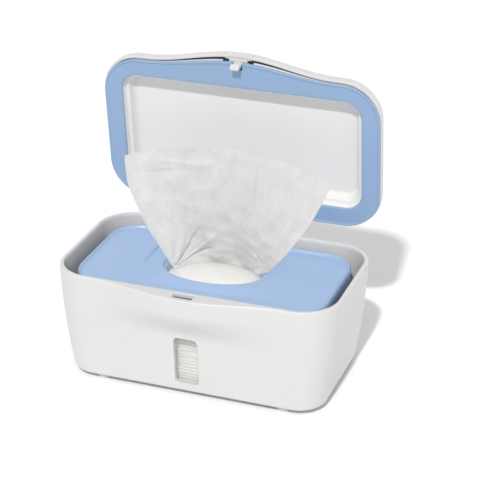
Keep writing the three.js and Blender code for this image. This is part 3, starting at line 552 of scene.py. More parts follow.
def clear_plastic():
    """Clear plastic that shows what is behind it, with faint ripples from moulding."""
    material, node, look = new_material("clear_plastic")
    place = node("ShaderNodeTexCoord").outputs["Object"]
    ripples = node("ShaderNodeTexNoise", Vector=place, Scale=90.0, Detail=1.0)
    bump = node("ShaderNodeBump", Height=ripples.outputs["Fac"], Strength=0.25, Distance=0.0006)
    look(Base_Color=(0.93, 0.95, 0.95, 1.0), Roughness=0.08, IOR=1.45, Alpha=0.14)
    look(Normal=bump.outputs["Normal"])
    return material


def pane_skin():
    """Front face from its middle out, back through the opening, out along the flange behind
    the wall, and in again over the back face."""
    behind = TUB_WALL + GAP
    back = behind + PANE_SHEET
    front = [8.5, 6.5, 4.5, 3.0, 1.6, 0.7, 0.35, GAP, GAP]
    flange = [GAP, EDGE - PANE_FLANGE, -PANE_FLANGE, -PANE_FLANGE, EDGE - PANE_FLANGE]
    inward = [-2.0, 0.0, 2.5, 5.0, 8.5]
    shrink = np.array(front + flange + inward)
    front_depth = [PANE_RECESS + ease for ease in [0.0] * 6 + [0.05, 0.25]] + [behind]
    depth = np.array(front_depth + [behind, behind, behind + EDGE, back - EDGE] + [back] * 6)
    return skin("window_glazing", window_rings(-shrink, depth))


seat(pane_skin(), "tub", "window_pane", clear_plastic(), crease=50)

# Feet: four soft rubber pads with a rounded lower edge, each pressed into the tub's
# floor by its stem.
FOOT_RADIUS = 6.5
FOOT_ROUND = 1.2

foot_rubber = moulded_plastic("foot_rubber", (0.62, 0.62, 0.60), (0.56, 0.56, 0.545), 0.62, 0.3)


def foot_skin(name, x, y):
    """Flat below, a rounded edge, a straight side, and a thin stem on top."""
    sine, cosine = quarter_turn(6)
    top = FOOT_HEIGHT - GAP
    stem_top = FOOT_HEIGHT + TUB_FLOOR / 2 - GAP
    side = [FOOT_RADIUS, FOOT_RADIUS - EDGE, FOOT_STEM, FOOT_STEM]
    radius = np.concatenate([[3.0], FOOT_RADIUS - FOOT_ROUND * (1 - sine), side])
    height = np.concatenate([[0.0], FOOT_ROUND * (1 - cosine), [top - EDGE, top, top, stem_top]])
    return lathe(name, radius, height, (x, y, 0), steps=48)


for end, y in (("front", -FOOT_PLACES[1]), ("back", FOOT_PLACES[1])):
    for hand, x in (("left", -FOOT_PLACES[0]), ("right", FOOT_PLACES[0])):
        pad = foot_skin(f"rubber_foot_{end}_{hand}", x, y)
        seat(pad, "tub", f"foot_{end}_{hand}", foot_rubber)

# Stack of wipes: moist non-woven cloth, folded in a zigzag into about two dozen layers.
# It rests on the tub's floor, and the plate's weight makes it swell up into the hole.
STACK_HALF = (96.9, 50.0)
STACK_CORNER = 9.0
STACK_BOTTOM = 7.3
STACK_TOP = 74.9
STACK_LAYERS = 25
STACK_FOLD = 1.5
SWELLING = (37.5, 21.5, 7.2)
SWELLING_BACK = 5.0
SWELLING_LOW = 72.9


def stack_height(x, y):
    """Flat under the plate, and in the hole part of an egg shape, drawn up to the back."""
    a, b, c = SWELLING
    egg = SWELLING_LOW + c * np.sqrt(np.clip(1 - (x / a) ** 2 - ((y - SWELLING_BACK) / b) ** 2, 0, None))
    return np.maximum(STACK_TOP, egg)


def wipe_stack_skin():
    """Each layer's edge is a rounded bulge, set in or out a little by chance and lifted by
    slow waves, and the top closes over the swelling."""
    chance = np.random.default_rng(7)
    per_layer = 8
    step = np.arange(STACK_LAYERS * per_layer + 1)
    layer = np.minimum(step // per_layer, STACK_LAYERS - 1)
    share = step / per_layer - layer
    z = blend(STACK_BOTTOM, STACK_TOP, step / step[-1])
    shift = chance.uniform(0.0, 0.7, STACK_LAYERS)[layer]
    inset = STACK_FOLD * np.abs(2 * share - 1) ** 2.5 + shift
    sides = level_rings(STACK_HALF[0] - inset, STACK_HALF[1] - inset, STACK_CORNER, z)
    phase = chance.uniform(0, 6.28, STACK_LAYERS)[layer][:, None]
    free = np.sin(math.pi * step / step[-1])[:, None]
    sides[..., 2] += free * (
        0.7 * np.sin(0.09 * sides[..., 0] + phase) + 0.25 * np.sin(0.31 * sides[..., 0] + 2 * phase)
    )
    over = np.linspace(0.985, 0.03, 60)[:, None, None]
    top = sides[-1] * over
    top[..., 2] = stack_height(top[..., 0], top[..., 1])
    under = sides[0] * np.array([0.5, 0.97])[:, None, None]
    under[..., 2] = STACK_BOTTOM
    return skin("folded_stack", np.concatenate([under, sides, top]))


def cloth(name, colour, shade, through, thin):
    """Non-woven cloth: clouds of closer and thinner fibre, and fine crossing fibres. A thin
    piece lets light through, and reads its own map, in metres of cloth."""
    material, node, look = new_material(name)
    place = node("ShaderNodeTexCoord").outputs["UV" if thin else "Object"]
    clouds = node("ShaderNodeTexNoise", Vector=place, Scale=90.0, Detail=5.0, Roughness=0.6)
    veins = node(
        "ShaderNodeTexNoise", Vector=place, Scale=420.0, Detail=6.0, Roughness=0.7, Distortion=1.2
    )
    both = {0: clouds.outputs["Fac"], 1: veins.outputs["Fac"]}
    fleck = node("ShaderNodeMath", {"operation": "MULTIPLY"}, both).outputs[0]
    spread = node("ShaderNodeMapRange", Value=fleck, From_Min=0.16, From_Max=0.36)
    tone = two_tones(node, shade, colour, spread.outputs[0])
    bump = node("ShaderNodeBump", Height=fleck, Strength=0.3, Distance=0.0006)
    look(Base_Color=tone, Normal=bump.outputs["Normal"], Roughness=0.85, Sheen_Weight=0.15)
    if thin:
        tree = material.node_tree
        lit_face = tree.nodes["Principled BSDF"].outputs[0]
        lit_through = node("ShaderNodeBsdfTranslucent", Color=tone).outputs[0]
        surface = node("ShaderNodeMixShader", (), {0: through, 1: lit_face, 2: lit_through})
        tree.links.new(surface.outputs[0], tree.nodes["Material Output"].inputs["Surface"])
    return material


stack_cloth = cloth("stack_cloth", (0.75, 0.74, 0.705), (0.71, 0.695, 0.66), 0.0, thin=False)
seat(wipe_stack_skin(), "tub", "wipe_stack", stack_cloth, crease=70)

# Weighted plate: a light blue cover with a raised edge, a low bar at its left, a crown round
# the hole and a stepped hole wall. A white cover below it holds two steel weights.
PLATE_HALF = (101.8, 53.0)
PLATE_CORNER = 25.8
PLATE_TOP = 85.6
PLATE_LOW = 75.2
PLATE_SHEET = 1.5
PLATE_BEAD = 3.2
BEAD_OUTLINE = [(0.0, -1.76), (0.8, -0.38), (1.7, 0.0), (PLATE_BEAD, -1.7)]
PLATE_DISH = 2.0
PLATE_CROWN = 3.6
SKIRT_MIDDLE = 80.0
HOLE_HALF = (42.0, 30.5)
HOLE_STEP = 1.6
HOLE_DEPTH = 6.2
RIB_HALF = (1.9, 18.0)
RIB_PLACE = (-57.5, 9.0)
RIB_PROUD = 1.3
PLATE_STATIONS = 360

plate_angle = np.linspace(0, 2 * math.pi, PLATE_STATIONS, endpoint=False)


def plate_outline(inset):
    """Where the ray through an ellipse's point meets the rounded rectangle: on a flat side,
    or else on the corner's circle, one row for each inset."""
    inset = np.atleast_1d(inset).astype(float)[:, None]
    length, depth, corner = PLATE_HALF[0] - inset, PLATE_HALF[1] - inset, PLATE_CORNER - inset
    ray = np.stack(np.broadcast_arrays(length * np.cos(plate_angle), depth * np.sin(plate_angle)))
    across, up = np.abs(ray)
    centre_x, centre_y = length - corner, depth - corner
    along = across * centre_x + up * centre_y
    square = across ** 2 + up ** 2
    room = np.clip(along ** 2 - square * (centre_x ** 2 + centre_y ** 2 - corner ** 2), 0, None)
    scale = np.select(
        [up * length <= centre_y * across, across * depth <= centre_x * up],
        [length / np.maximum(across, 1e-9), depth / np.maximum(up, 1e-9)],
        (along + np.sqrt(room)) / square,
    )
    return ray * scale


def hole_outline(shrink):
    """An ellipse for each amount that the hole has narrowed."""
    shrink = np.atleast_1d(shrink).astype(float)[:, None]
    length, depth = HOLE_HALF
    return np.stack([(length - shrink) * np.cos(plate_angle), (depth - shrink) * np.sin(plate_angle)])


def plate_height(share):
    """The dish, rising to the crown at the hole (share 0), half as high at the hole's ends."""
    bell = (1 - smooth_step(share * 1.9)) * (1 - np.cos(plate_angle) ** 2 / 2)
    return PLATE_TOP - PLATE_DISH + PLATE_CROWN * bell


def plate_cover_skin():
    """Up the skirt, over the bead, across the dish and crown, over the lip and down the
    steps of the hole, then back below the sheet."""
    rows = []

    def add(outline, z):
        rows.append(points_from(*outline, z))

    def across(share):
        share = np.asarray(share, float)[:, None]
        return blend(hole_outline(0.0), plate_outline(PLATE_BEAD), share), share

    add(plate_outline([EDGE, 0.0, 0.0]), np.array([[PLATE_LOW], [PLATE_LOW + EDGE], [SKIRT_MIDDLE]]))
    bead = curve_through(BEAD_OUTLINE, np.linspace(0, 1, 14))
    add(plate_outline(bead[:, 0]), PLATE_TOP + bead[:, 1:])
    dish, share = across(np.linspace(0.97, 0.03, 44))
    add(dish, plate_height(share))
    lip = plate_height(0.0)
    sine, cosine = quarter_turn(8)
    add(hole_outline(1.5 * sine - 0.5), lip - 1.9 * (1 - cosine[:, None]))
    steps = np.array([
        (1.15, 2.4), (1.5, 2.75), (2.0, 2.85), (2.3, 3.0),
        (2.35, 3.7), (2.5, 4.0), (2.9, 4.15), (3.2, 4.5),
    ])
    add(hole_outline(steps[:, 0]), lip - steps[:, 1:])
    narrow = 2 * HOLE_STEP
    low = np.array([[PLATE_LOW + EDGE], [PLATE_LOW], [PLATE_LOW]])
    add(hole_outline([narrow, narrow - EDGE, narrow - PLATE_SHEET]), low)
    add(hole_outline(narrow - PLATE_SHEET), lip - HOLE_DEPTH)
    dish, share = across(np.linspace(0.12, 0.93, 10))
    add(dish, plate_height(share) - PLATE_SHEET)
    add(plate_outline([PLATE_SHEET, PLATE_SHEET]), np.array([[PLATE_TOP - PLATE_BEAD], [PLATE_LOW]]))
    return skin("plate_cover_moulding", np.concatenate(rows), ring=True)


def round_ended(half, grow, side_steps):
    """Oblongs with round ends, one row for each amount that they are grown all round."""
    half_width, half_height = half[0] + grow, half[1] + grow
    corner = np.minimum(half_width, half_height) - 0.01
    return rounded_rectangle(half_width, half_height, corner, outline_stations(10, side_steps))


def plate_rib():
    """A low bar with round ends and a rounded top, its foot in the plate's dish."""
    sine, cosine = quarter_turn(6)
    shrink = np.concatenate([[0.0, 0.0], RIB_PROUD * (1 - cosine)])
    z = PLATE_TOP - PLATE_DISH + np.concatenate([[-1.2, 0.9], 0.9 + RIB_PROUD * sine])
    across, along = round_ended(RIB_HALF, -shrink, 6)
    return skin("rib", points_from(across + RIB_PLACE[0], along + RIB_PLACE[1], z[:, None]))


blue_plastic = moulded_plastic(
    "blue_plastic", (0.325, 0.448, 0.65), (0.31, 0.432, 0.635), 0.32, 0.15, glow=0.05
)
cover = work(plate_cover_skin(), plate_rib(), "UNION")
seat(cover, "tub", "plate_cover", blue_plastic, crease=40)


def drawn_steel():
    """Plain steel, finely streaked by drawing and rolling."""
    material, node, look = new_material("drawn_steel")
    place = node("ShaderNodeTexCoord").outputs["Object"]
    stretch = node("ShaderNodeMapping", Vector=place, Scale=(60.0, 900.0, 900.0))
    streaks = node("ShaderNodeTexNoise", Vector=stretch.outputs[0], Scale=1.0, Detail=3.0)
    gloss = node("ShaderNodeMapRange", Value=streaks.outputs["Fac"], To_Min=0.22, To_Max=0.42)
    look(Base_Color=(0.60, 0.61, 0.63, 1.0), Metallic=1.0, Roughness=gloss.outputs[0])
    return material


steel = drawn_steel()
inner_finish = {"plate_base": white_plastic, "plate_weight_left": steel, "plate_weight_right": steel}
for name, finish in inner_finish.items():
    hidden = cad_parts[name].data
    hidden.materials.clear()
    hidden.materials.append(finish)

# Pulled wipe: the free end of the topmost wipe, drawn up through the hole and left
# standing as a fan. It is gathered at the hole and stiff with moisture, so it holds itself.
LEAN = 0.21
WIPE_TOP_EDGE = [
    (-81, 161.5), (-52, 169.8), (-16, 175), (13, 177.5), (44, 174.6), (68, 167.4), (89, 161.4),
]
WIPE_LEFT_EDGE = [
    (-34.5, 78.2), (-39.2, 83.6), (-47, 93.5), (-58.4, 107.5), (-68, 124), (-77, 141), (-81, 161.5),
]
WIPE_RIGHT_EDGE = [(43.5, 87.0), (47.5, 91.8), (52, 97), (60, 107), (75.4, 131.5), (89, 161.4)]
WIPE_NECK = [(12, 0.5), (21, 0.3), (23, 0.2), (21.5, 0.3), (13, 1.6)]
# A crease has the x and z where it starts and where it ends, its depth and its width.
WIPE_CREASES = [
    (-33.5, 79.5, -18.5, 110, 1.8, 1.3),
    (-33.5, 79.5, -26.5, 127, -1.4, 2.0),
    (-33, 80, -5, 94.5, 1.6, 1.3),
    (-34, 79.5, -37.5, 108, 1.1, 1.8),
    (-33, 79.5, 2, 110, -1.2, 2.4),
    (-33, 80, -23, 104, 1.3, 1.0),
    (-33, 80, -12, 100, 0.9, 1.0),
    (36, 85, 26, 98, 0.5, 1.4),
    (24, 142, 27, 178, 1.0, 3.2),
    (33, 140, 38, 176, -0.9, 3.0),
    (-60, 150, -10, 158, 0.5, 2.5),
    (-50, 160, 0, 163, -0.5, 2.5),
]
WIPE_COLUMNS = 276
WIPE_ROWS = 178
WIPE_THICKNESS = 0.35
WIPE_FLAT = (0.17, 0.105)


def wipe_boundary(points, t):
    """A curve through points of the leaning plane that the cloth stands in."""
    x, z = curve_through(points, t).T
    return points_from(x, LEAN * (z - STACK_TOP), z)


def wipe_points():
    """A patch between its four edges: the sum of the two ways across, less the corners."""
    u = np.linspace(0, 1, WIPE_COLUMNS)
    v = np.linspace(0, 1, WIPE_ROWS)
    left = wipe_boundary(WIPE_LEFT_EDGE, v)
    right = wipe_boundary(WIPE_RIGHT_EDGE, v)
    top = wipe_boundary(WIPE_TOP_EDGE, u)
    neck_x = blend(left[0, 0], right[0, 0], np.linspace(0, 1, len(WIPE_NECK) + 2))[1:-1]
    neck_y, above = np.array(WIPE_NECK).T
    inner = np.column_stack([neck_x, neck_y, stack_height(neck_x, neck_y) + above])
    neck = curve_through(np.concatenate([left[:1], inner, right[:1]]), u)
    u, v = u[None, :, None], v[:, None, None]
    ruled = blend(neck[None], top[None], v) + blend(left[:, None], right[:, None], u)
    corners = blend(blend(neck[0], neck[-1], u), blend(top[0], top[-1], u), v)
    points = ruled - corners
    return points, u[..., 0], v[..., 0]


def wipe_skin():
    """The patch, pushed to the front and back by creases, each a bell across its own line that
    widens along it, by a few pleats at the neck, and by long soft waves."""
    points, u, v = wipe_points()
    rise = smooth_step(v * 7)
    spread = u + 0.03 * np.sin(5 * math.pi * u + 1.0)
    pleats = 0.25 * rise * (1 - v) ** 1.5 * np.sin(2 * math.pi * 7.5 * spread + 1.3 * v)
    fan = 1.9 * rise * (1 - 0.4 * v) * np.sin(math.pi * 3.1 * (2 * u - 1) + 0.6 + 0.8 * v)
    soft = 0.9 * smooth_step(v * 2 - 0.5) * np.sin(2 * math.pi * (2.4 * u - 0.5 * v) + 0.4)
    small = 0.22 * smooth_step(v * 4) * np.sin(19 * u + 9 * v) * np.sin(43 * v - 10 * u + 1)
    push = pleats + fan + soft + small
    x, z = points[..., 0], points[..., 2]
    for start_x, start_z, end_x, end_z, depth, width in WIPE_CREASES:
        way = np.array([end_x - start_x, end_z - start_z])
        length = np.hypot(*way)
        along = ((x - start_x) * way[0] + (z - start_z) * way[1]) / length ** 2
        off = ((x - start_x) * way[1] - (z - start_z) * way[0]) / length
        taper = np.sin(math.pi * np.clip(0.12 + 0.88 * along, 0, 1)) ** 0.7
        push = push + rise * depth * taper * np.exp(-(off / (width * (0.3 + np.clip(along, 0, 1)))) ** 2)
    points[..., 1] += push
    points[..., 2] += 0.4 * v ** 3 * np.sin(30 * u) * np.sin(11 * u + 1)
    index = np.arange(WIPE_COLUMNS * WIPE_ROWS).reshape(WIPE_ROWS, WIPE_COLUMNS)
    faces = np.stack([index[:-1, :-1], index[:-1, 1:], index[1:, 1:], index[1:, :-1]], -1).reshape(-1, 4)
    mesh = bpy.data.meshes.new("wipe_fan")
    mesh.from_pydata((points.reshape(-1, 3) * MM + (0, TUB_MIDDLE_Y, 0)).tolist(), [], faces.tolist())
    flat = np.stack(np.broadcast_arrays(WIPE_FLAT[0] * (u - 0.5), WIPE_FLAT[1] * v), -1).reshape(-1, 2)
    corner = np.zeros(len(mesh.loops), int)
    mesh.loops.foreach_get("vertex_index", corner)
    layer = mesh.uv_layers.new(name="cloth")
    layer.data.foreach_set("uv", flat[corner].astype(np.float32).ravel())
    fan = put_in_scene("wipe_fan", mesh)
    body = fan.modifiers.new("cloth_thickness", "SOLIDIFY")
    body.thickness = WIPE_THICKNESS * MM
    body.offset = 0.0
    return plain(fan)


wipe_cloth = cloth("wipe_cloth", (0.755, 0.745, 0.73), (0.68, 0.67, 0.66), 0.38, thin=True)
wipe = seat(wipe_skin(), "tub", "pulled_wipe", wipe_cloth, crease=80)
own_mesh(wipe)
# Moist cloth lets so much light through that it leaves no shadow on the plate and the lid.
wipe.visible_shadow = False

# Hinge pins and lid springs: a headed steel pin through each pair of ears, and round it
# a torsion spring of steel wire that lifts the lid when the latch lets go.
PIN_LENGTH = 25.0
PIN_HEAD = (2.9, 0.9)
PIN_PROUD = 1.2
SPRING_PLACE = 26.0
SPRING_WIRE = 0.9
SPRING_RADIUS = 2.55
SPRING_TURNS = 5
SPRING_LENGTH = 6.7


def pin_skin(name, side):
    """A flat head with eased edges, a step down to the shank, and an eased tip."""
    radius, head = PIN_HEAD
    profile = np.array([
        (radius - EDGE, 0.0), (radius, EDGE), (radius, head - 0.2), (radius - 0.2, head),
        (PIN_RADIUS, head), (PIN_RADIUS, PIN_LENGTH - 0.4), (PIN_RADIUS - 0.4, PIN_LENGTH),
    ])
    start = side * (EAR_PLACES[1] + EAR_THICKNESS / 2 + PIN_PROUD)
    return lathe(name, profile[:, 0], -side * profile[:, 1], (start, HINGE_Y, HINGE_Z), axis=0)


def coil_rows(radius, wire, turns, length):
    """A round wire carried along a helix that starts at the origin and runs along X."""
    turn = np.linspace(0, 2 * math.pi * turns, turns * 36)[:, None]
    section = np.linspace(0, 2 * math.pi, 12, endpoint=False)
    reach = radius + wire / 2 * np.cos(section)
    x = turn / turn[-1] * length + wire / 2 * np.sin(section)
    return points_from(x, reach * np.cos(turn), reach * np.sin(turn))


for side, hand in ((-1, "left"), (1, "right")):
    seat(pin_skin(f"steel_pin_{hand}", side), "tub", f"hinge_pin_{hand}", steel)
    rows = coil_rows(SPRING_RADIUS, SPRING_WIRE, SPRING_TURNS, SPRING_LENGTH)
    rows = rows + (side * SPRING_PLACE - SPRING_LENGTH / 2, HINGE_Y, HINGE_Z)
    seat(skin(f"torsion_spring_{hand}", rows), "tub", f"lid_spring_{hand}", steel)

# Lid shell: a domed white moulding, drawn closed on the tub and turned open about the
# hinge pins. Two arms at its back reach down to the pins.
OPEN_ANGLE = math.radians(84)
SHELL_PLANE = 94.6
LID_OVERHANG = 0.8
LID_HEIGHT = 16.93
LID_SIDE = 3.2
LID_ROUND = 12.0
LID_CROWN = 1.6
LID_MIDDLE_STRIP = 26.0
LID_WALL = 2.4
LID_SWELL_HOLD = 7.0
ARM_PLACE = 34.3
ARM_THICKNESS = 7.4
BUTTON_HALF = (12.0, 2.5)
BUTTON_MIDDLE = SHELL_PLANE + 3.1
SHELL_FRONT = -(RIM_HALF[1] + LID_OVERHANG + SWELL_REACH)


def turned_open(piece):
    """Turns a piece that was drawn closed about the hinge's axis, in its mesh."""
    to_hinge = Matrix.Translation((0, HINGE_Y * MM + TUB_MIDDLE_Y, HINGE_Z * MM))
    piece.data.transform(to_hinge @ Matrix.Rotation(-OPEN_ANGLE, 4, "X") @ to_hinge.inverted())
    piece.data.update()
    return piece


def shell_rings(height, inset):
    """The lid's outline at heights above its rim, the swelling fading out over the dome."""
    over = LID_OVERHANG - inset
    fade = smooth_step((height - LID_SWELL_HOLD) / (LID_HEIGHT - LID_SWELL_HOLD))
    corner = np.maximum(RIM_CORNER + over, 4.0)
    return level_rings(
        RIM_HALF[0] + over, RIM_HALF[1] + over, corner, SHELL_PLANE + height, SWELL_REACH * (1 - fade)
    )


def dome_profile(inset, height, steps):
    """Height and inset up the side, round the shoulder by a quarter circle and over the crown."""
    round_radius = LID_ROUND - inset
    shoulder = height - round_radius - LID_CROWN
    sine, cosine = quarter_turn(steps)
    top = np.linspace(0.12, 1, 12)
    heights = [np.linspace(LID_SIDE, shoulder, 4)[:-1], shoulder + round_radius * sine]
    insets = [np.full(3, inset), inset + round_radius * (1 - cosine)]
    heights.append(height - LID_CROWN * (1 - top) ** 2)
    insets.append(inset + round_radius + top * (RIM_HALF[1] - LID_MIDDLE_STRIP - round_radius))
    return np.concatenate(heights), np.concatenate(insets)


def lid_shell_skin():
    """From the rim's outer edge over the dome to its middle, and inside from the middle
    back down to the rim."""
    up, out = dome_profile(0.0, LID_HEIGHT, 16)
    inner_up, inner_out = dome_profile(LID_WALL, LID_HEIGHT - LID_WALL, 12)
    rim_up = np.array([LID_SIDE - 0.8, 0.5, 0.15, 0.0, 0.0, 0.15, 0.5, LID_SIDE - 0.8])
    rim_out = np.array([0.0, 0.0, 0.15, 0.5, LID_WALL - 0.5, LID_WALL - 0.15, LID_WALL, LID_WALL])
    heights = np.concatenate([up[::-1], rim_up, inner_up])
    insets = np.concatenate([out[::-1], rim_out, inner_out])
    return skin("lid_moulding", shell_rings(heights, insets))


def arm_outline():
    """From the lid's wall down to the knuckle, round it and back up to the wall."""
    wall = RIM_HALF[1] + LID_OVERHANG - LID_WALL / 2
    low = np.array([[wall, SHELL_PLANE + 0.5]])
    high = np.array([[wall, SHELL_PLANE + LID_SIDE + KNUCKLE_RADIUS]])
    return np.concatenate([low, knuckle_arc(-150, 90, 20), high])


def button_opening():
    """Through the lid's front wall, round-ended, with its outer edge eased."""
    y = SHELL_FRONT + np.array([2 * LID_WALL, 0.6, 0.25, 0.05, -1.0])
    across, up = round_ended(BUTTON_HALF, GAP + np.array([0.0, 0.0, 0.08, 0.3, 1.2]), 10)
    return skin("button_opening", points_from(across, y[:, None], up + BUTTON_MIDDLE))


lid = lid_shell_skin()
arms = together("arms", [slab(f"arm_{s}", arm_outline(), s * ARM_PLACE, ARM_THICKNESS, 0.5) for s in (-1, 1)])
work(lid, arms, "UNION")
work(lid, together("lid_cutters", [button_opening(), hinge_bores("arm_bores")]), "DIFFERENCE")
seat(turned_open(lid), "lid", "lid_shell", white_plastic)

# Lid pan: a thinner white moulding that lines the lid. A flange lies behind the seal,
# and inside the mouth a stepped recess leaves room for the wipe.
MOUTH_HALF = (99.0, 46.9)
MOUTH_CORNER = 14.0
PAN_SHEET = 1.8
PAN_DEPTH = 10.5
PAN_STEP_DEPTH = 3.5
PAN_STEP_WIDTH = 2.6
PAN_DRAFT = 3.0
FLANGE_INSET = 2.3
FLANGE_SWELL = 9.2
HOOK_FRONT = -67.65
HOOK_BACK = -65.45
CARRIAGE_HALF = 7.5
CARRIAGE_HEIGHT = 6.0
CARRIAGE_FRONT = SHELL_FRONT + LID_WALL + 1.0
BUTTON_TRAVEL = 2.5
SPRING_STOP_FRONT = HOOK_BACK + 8.1
SPRING_STOP = 1.6


def block(name, low, high, soft_edge=0.25):
    """A block between two corners with its edges eased by a quarter circle."""
    low, high = np.asarray(low, float), np.asarray(high, float)
    half = (high - low) / 2
    sine, cosine = quarter_turn(5)
    shrink = soft_edge * np.concatenate([1 - sine, 1 - sine[::-1]])
    z = np.concatenate([low[2] + soft_edge * (1 - cosine), high[2] - soft_edge * (1 - cosine[::-1])])
    x, y = rounded_rectangle(
        half[0] - shrink, half[1] - shrink, np.maximum(soft_edge - shrink, 0.02), outline_stations(5, 2)
    )
    middle = (low + high) / 2
    return skin(name, points_from(x + middle[0], y + middle[1], z[:, None]))


def mouth_rings(inset, z):
    """The lid's mouth, pulled in by the inset."""
    inset = np.asarray(inset, float)
    corner = np.maximum(MOUTH_CORNER - inset, 3.0)
    return level_rings(MOUTH_HALF[0] - inset, MOUTH_HALF[1] - inset, corner, z)


def pan_profile(grow, deeper):
    """Inset and depth from the recess's floor out over its step to the mouth's edge."""
    steps = [
        (22.6, PAN_DEPTH), (4.6, PAN_DEPTH), (2.5, PAN_DEPTH), (1.3, PAN_DEPTH - 0.4), (0.4, 8.7), (0.0, 6.5),
        (0.0, PAN_STEP_DEPTH + 0.9), (-0.15, PAN_STEP_DEPTH + 0.4), (-0.6, PAN_STEP_DEPTH + 0.15),
        (0.3 - PAN_STEP_WIDTH, PAN_STEP_DEPTH), (-PAN_STEP_WIDTH, PAN_STEP_DEPTH - 0.4),
        (-PAN_STEP_WIDTH, 1.2), (-PAN_STEP_WIDTH, 0.5),
    ]
    inset, depth = np.array(steps).T
    return PAN_STEP_WIDTH + inset + PAN_DRAFT * depth / PAN_DEPTH - grow, depth + deeper


def lid_pan_skin():
    """The recess's floor, its sides, the flange's face, its edge, its back, and the recess's
    outside back to the middle."""
    inset, depth = pan_profile(0.0, 0.0)
    face = mouth_rings(inset, SHELL_PLANE + depth)
    inner_lip = mouth_rings([0.0, -EDGE], SHELL_PLANE + np.array([0.2, 0.0]))
    flange_inset = FLANGE_INSET + np.array([EDGE, 0.0, 0.0, EDGE])
    flange = level_rings(
        RIM_HALF[0] - flange_inset, RIM_HALF[1] - flange_inset, RIM_CORNER - flange_inset,
        SHELL_PLANE + np.array([0.0, EDGE, PAN_SHEET - EDGE, PAN_SHEET]), FLANGE_SWELL,
    )
    inset, depth = pan_profile(PAN_SHEET, PAN_SHEET)
    back = mouth_rings(inset[::-1], SHELL_PLANE + np.maximum(depth[::-1], PAN_SHEET + 0.02))
    return skin("pan_moulding", np.concatenate([face, inner_lip, flange, back]))


pan = lid_pan_skin()
room_back = HOOK_BACK + BUTTON_TRAVEL + 1.0
work(pan, block(
    "carriage_room", (-CARRIAGE_HALF - GAP, SHELL_FRONT - 2, SHELL_PLANE - 1),
    (CARRIAGE_HALF + GAP, room_back, SHELL_PLANE + PAN_SHEET + 0.5), 0.3,
), "DIFFERENCE")
work(pan, block(
    "button_room", (-BUTTON_HALF[0] - 0.8, SHELL_FRONT - 2, SHELL_PLANE - 1),
    (BUTTON_HALF[0] + 0.8, CARRIAGE_FRONT + 0.5 + BUTTON_TRAVEL + 0.8, SHELL_PLANE + PAN_SHEET + 0.5), 0.3,
), "DIFFERENCE")
work(pan, block(
    "spring_stop", (-CARRIAGE_HALF / 2, SPRING_STOP_FRONT, SHELL_PLANE + 0.5),
    (CARRIAGE_HALF / 2, SPRING_STOP_FRONT + SPRING_STOP, SHELL_PLANE + CARRIAGE_HEIGHT + 0.5),
), "UNION")
# Painted light: the pan's white is made lighter than the shell's, standing in for the light that the recess
# inside the open lid doesn't get.
pan_plastic_painted_lighter = moulded_plastic("pan_plastic_painted_lighter", (0.72, 0.715, 0.70), (0.70, 0.697, 0.69), 0.4, 0.1, glow=0.05)
seat(turned_open(pan), "lid", "lid_pan", pan_plastic_painted_lighter)

# Sealing ring: soft blue elastomer pressed on the lid's flange. A thin lip runs along
# its outer edge and meets the tub's rim, and a slot at the front lets the hook through.
LID_PLANE = 92.3
SEAL_THICKNESS = 2.0
SEAL_INSET = 0.7
SEAL_SWELL = 8.3
SEAL_FRONT_EASE = 2.2
SEAL_EASE_SPREAD = 45.0
HOOK_HALF = 3.5
HOOK_TOOTH = 1.9


def seal_skin():
    """A section carried once round between the lid's outline and its mouth: the lip, a shallow
    groove, the flat band, an eased inner edge and the flat back. The front lies further in."""
    outer_inset = SEAL_INSET - LID_OVERHANG
    outer = level_rings(
        RIM_HALF[0] - outer_inset, RIM_HALF[1] - outer_inset, RIM_CORNER, 0.0, SEAL_SWELL
    )[0]
    outer[:, 1] += SEAL_FRONT_EASE * smooth_step(-outer[:, 1] / SEAL_EASE_SPREAD)
    inner = mouth_rings(0.0, 0.0)[0]
    section = np.array([
        (0.0, 0.35), (0.006, 0.12), (0.02, 0.02), (0.045, 0.0), (0.075, 0.02), (0.1, 0.1), (0.12, 0.22),
        (0.15, 0.27), (0.2, 0.26), (0.6, 0.25), (0.9, 0.25), (0.96, 0.28), (0.99, 0.42), (1.0, 0.6),
        (1.0, 1.0), (0.5, 1.0), (0.0, 1.0),
    ])
    rows = blend(outer[None], inner[None], section[:, :1, None])
    rows[..., 2] = LID_PLANE + SEAL_THICKNESS * section[:, 1:]
    return skin("seal_ring", rows, ring=True)


soft_elastomer = moulded_plastic(
    "soft_elastomer", (0.255, 0.368, 0.55), (0.24, 0.35, 0.53), 0.55, 0.35, glow=0.04
)
seal = seal_skin()
work(seal, block(
    "hook_opening", (-HOOK_HALF - 0.6, HOOK_FRONT - HOOK_TOOTH - 0.6, LID_PLANE - 1),
    (HOOK_HALF + 0.6, HOOK_BACK + BUTTON_TRAVEL + 0.6, LID_PLANE + 4), 0.5,
), "DIFFERENCE")
seat(turned_open(seal), "lid", "lid_gasket", soft_elastomer, crease=45)

# Latch: a white button in the lid's front, its carriage and its hook in one moulding, and
# behind the hook a small steel spring that pushes the button out.
BUTTON_PROUD = 0.3
TOOTH_HEIGHT = 3.6
TOOTH_LOW = TUB_HEIGHT - LEDGE_THICKNESS - GAP - TOOTH_HEIGHT
LATCH_SPRING = (1.8, 0.6, 5, 6.9)


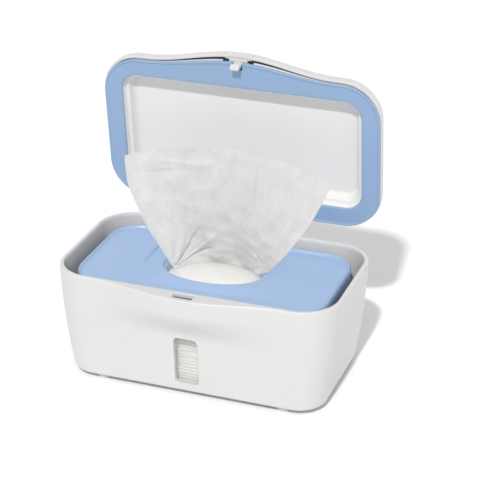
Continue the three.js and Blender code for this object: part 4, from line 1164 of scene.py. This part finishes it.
def button_face():
    """A round-ended bar that looks to the front, its face slightly domed at the edges."""
    back = CARRIAGE_FRONT + 0.5
    front = SHELL_FRONT - BUTTON_PROUD
    y = np.array([back, front + 0.7, front + 0.4, front + 0.15, front, front - 0.02])
    across, up = round_ended(BUTTON_HALF, -np.array([0.0, 0.0, 0.08, 0.3, 0.75, 1.8]), 12)
    return skin("button_face", points_from(across, y[:, None], up + BUTTON_MIDDLE))


def hook_outline():
    """The shank down from the carriage, and its tooth with a sloping nose to the front."""
    start = SHELL_PLANE + GAP + 0.5
    tip = HOOK_FRONT - HOOK_TOOTH
    tooth_top = TOOTH_LOW + TOOTH_HEIGHT
    return np.array([
        (HOOK_BACK, start), (HOOK_BACK, TOOTH_LOW), (HOOK_FRONT, TOOTH_LOW),
        (tip, TOOTH_LOW + TOOTH_HEIGHT * 0.75), (tip, tooth_top),
        (HOOK_FRONT, tooth_top), (HOOK_FRONT, start),
    ])


def hook_plate():
    """The outline drawn out across the hook's width, closed at both sides."""
    outline = hook_outline()
    side = np.column_stack([np.zeros(len(outline)), outline])
    points = np.concatenate([side - (HOOK_HALF, 0, 0), side + (HOOK_HALF, 0, 0)])
    count = len(outline)
    start = np.arange(count)
    after = np.roll(start, -1)
    sides = np.stack([start, after, after + count, start + count], 1).tolist()
    caps = [list(range(count))[::-1], list(range(count, 2 * count))]
    hook = mesh_object("hook", points, sides + caps)
    ease = hook.modifiers.new("ease", "BEVEL")
    ease.width = EDGE * MM
    ease.segments = 3
    return plain(hook)


button = button_face()
low = SHELL_PLANE + GAP
work(button, block(
    "carriage", (-CARRIAGE_HALF, CARRIAGE_FRONT, low), (CARRIAGE_HALF, HOOK_BACK, low + CARRIAGE_HEIGHT), 0.4,
), "UNION")
work(button, hook_plate(), "UNION")
seat(turned_open(button), "latch", "latch_button", white_plastic)
radius, wire, turns, length = LATCH_SPRING
rows = coil_rows(radius, wire, turns, length)[..., [1, 0, 2]]
rows = rows + (0, HOOK_BACK + 2 * GAP, SHELL_PLANE + PAN_SHEET + GAP + radius + wire / 2)
spring = seat(turned_open(skin("return_spring", rows)), "lid", "latch_spring", steel)
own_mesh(spring)
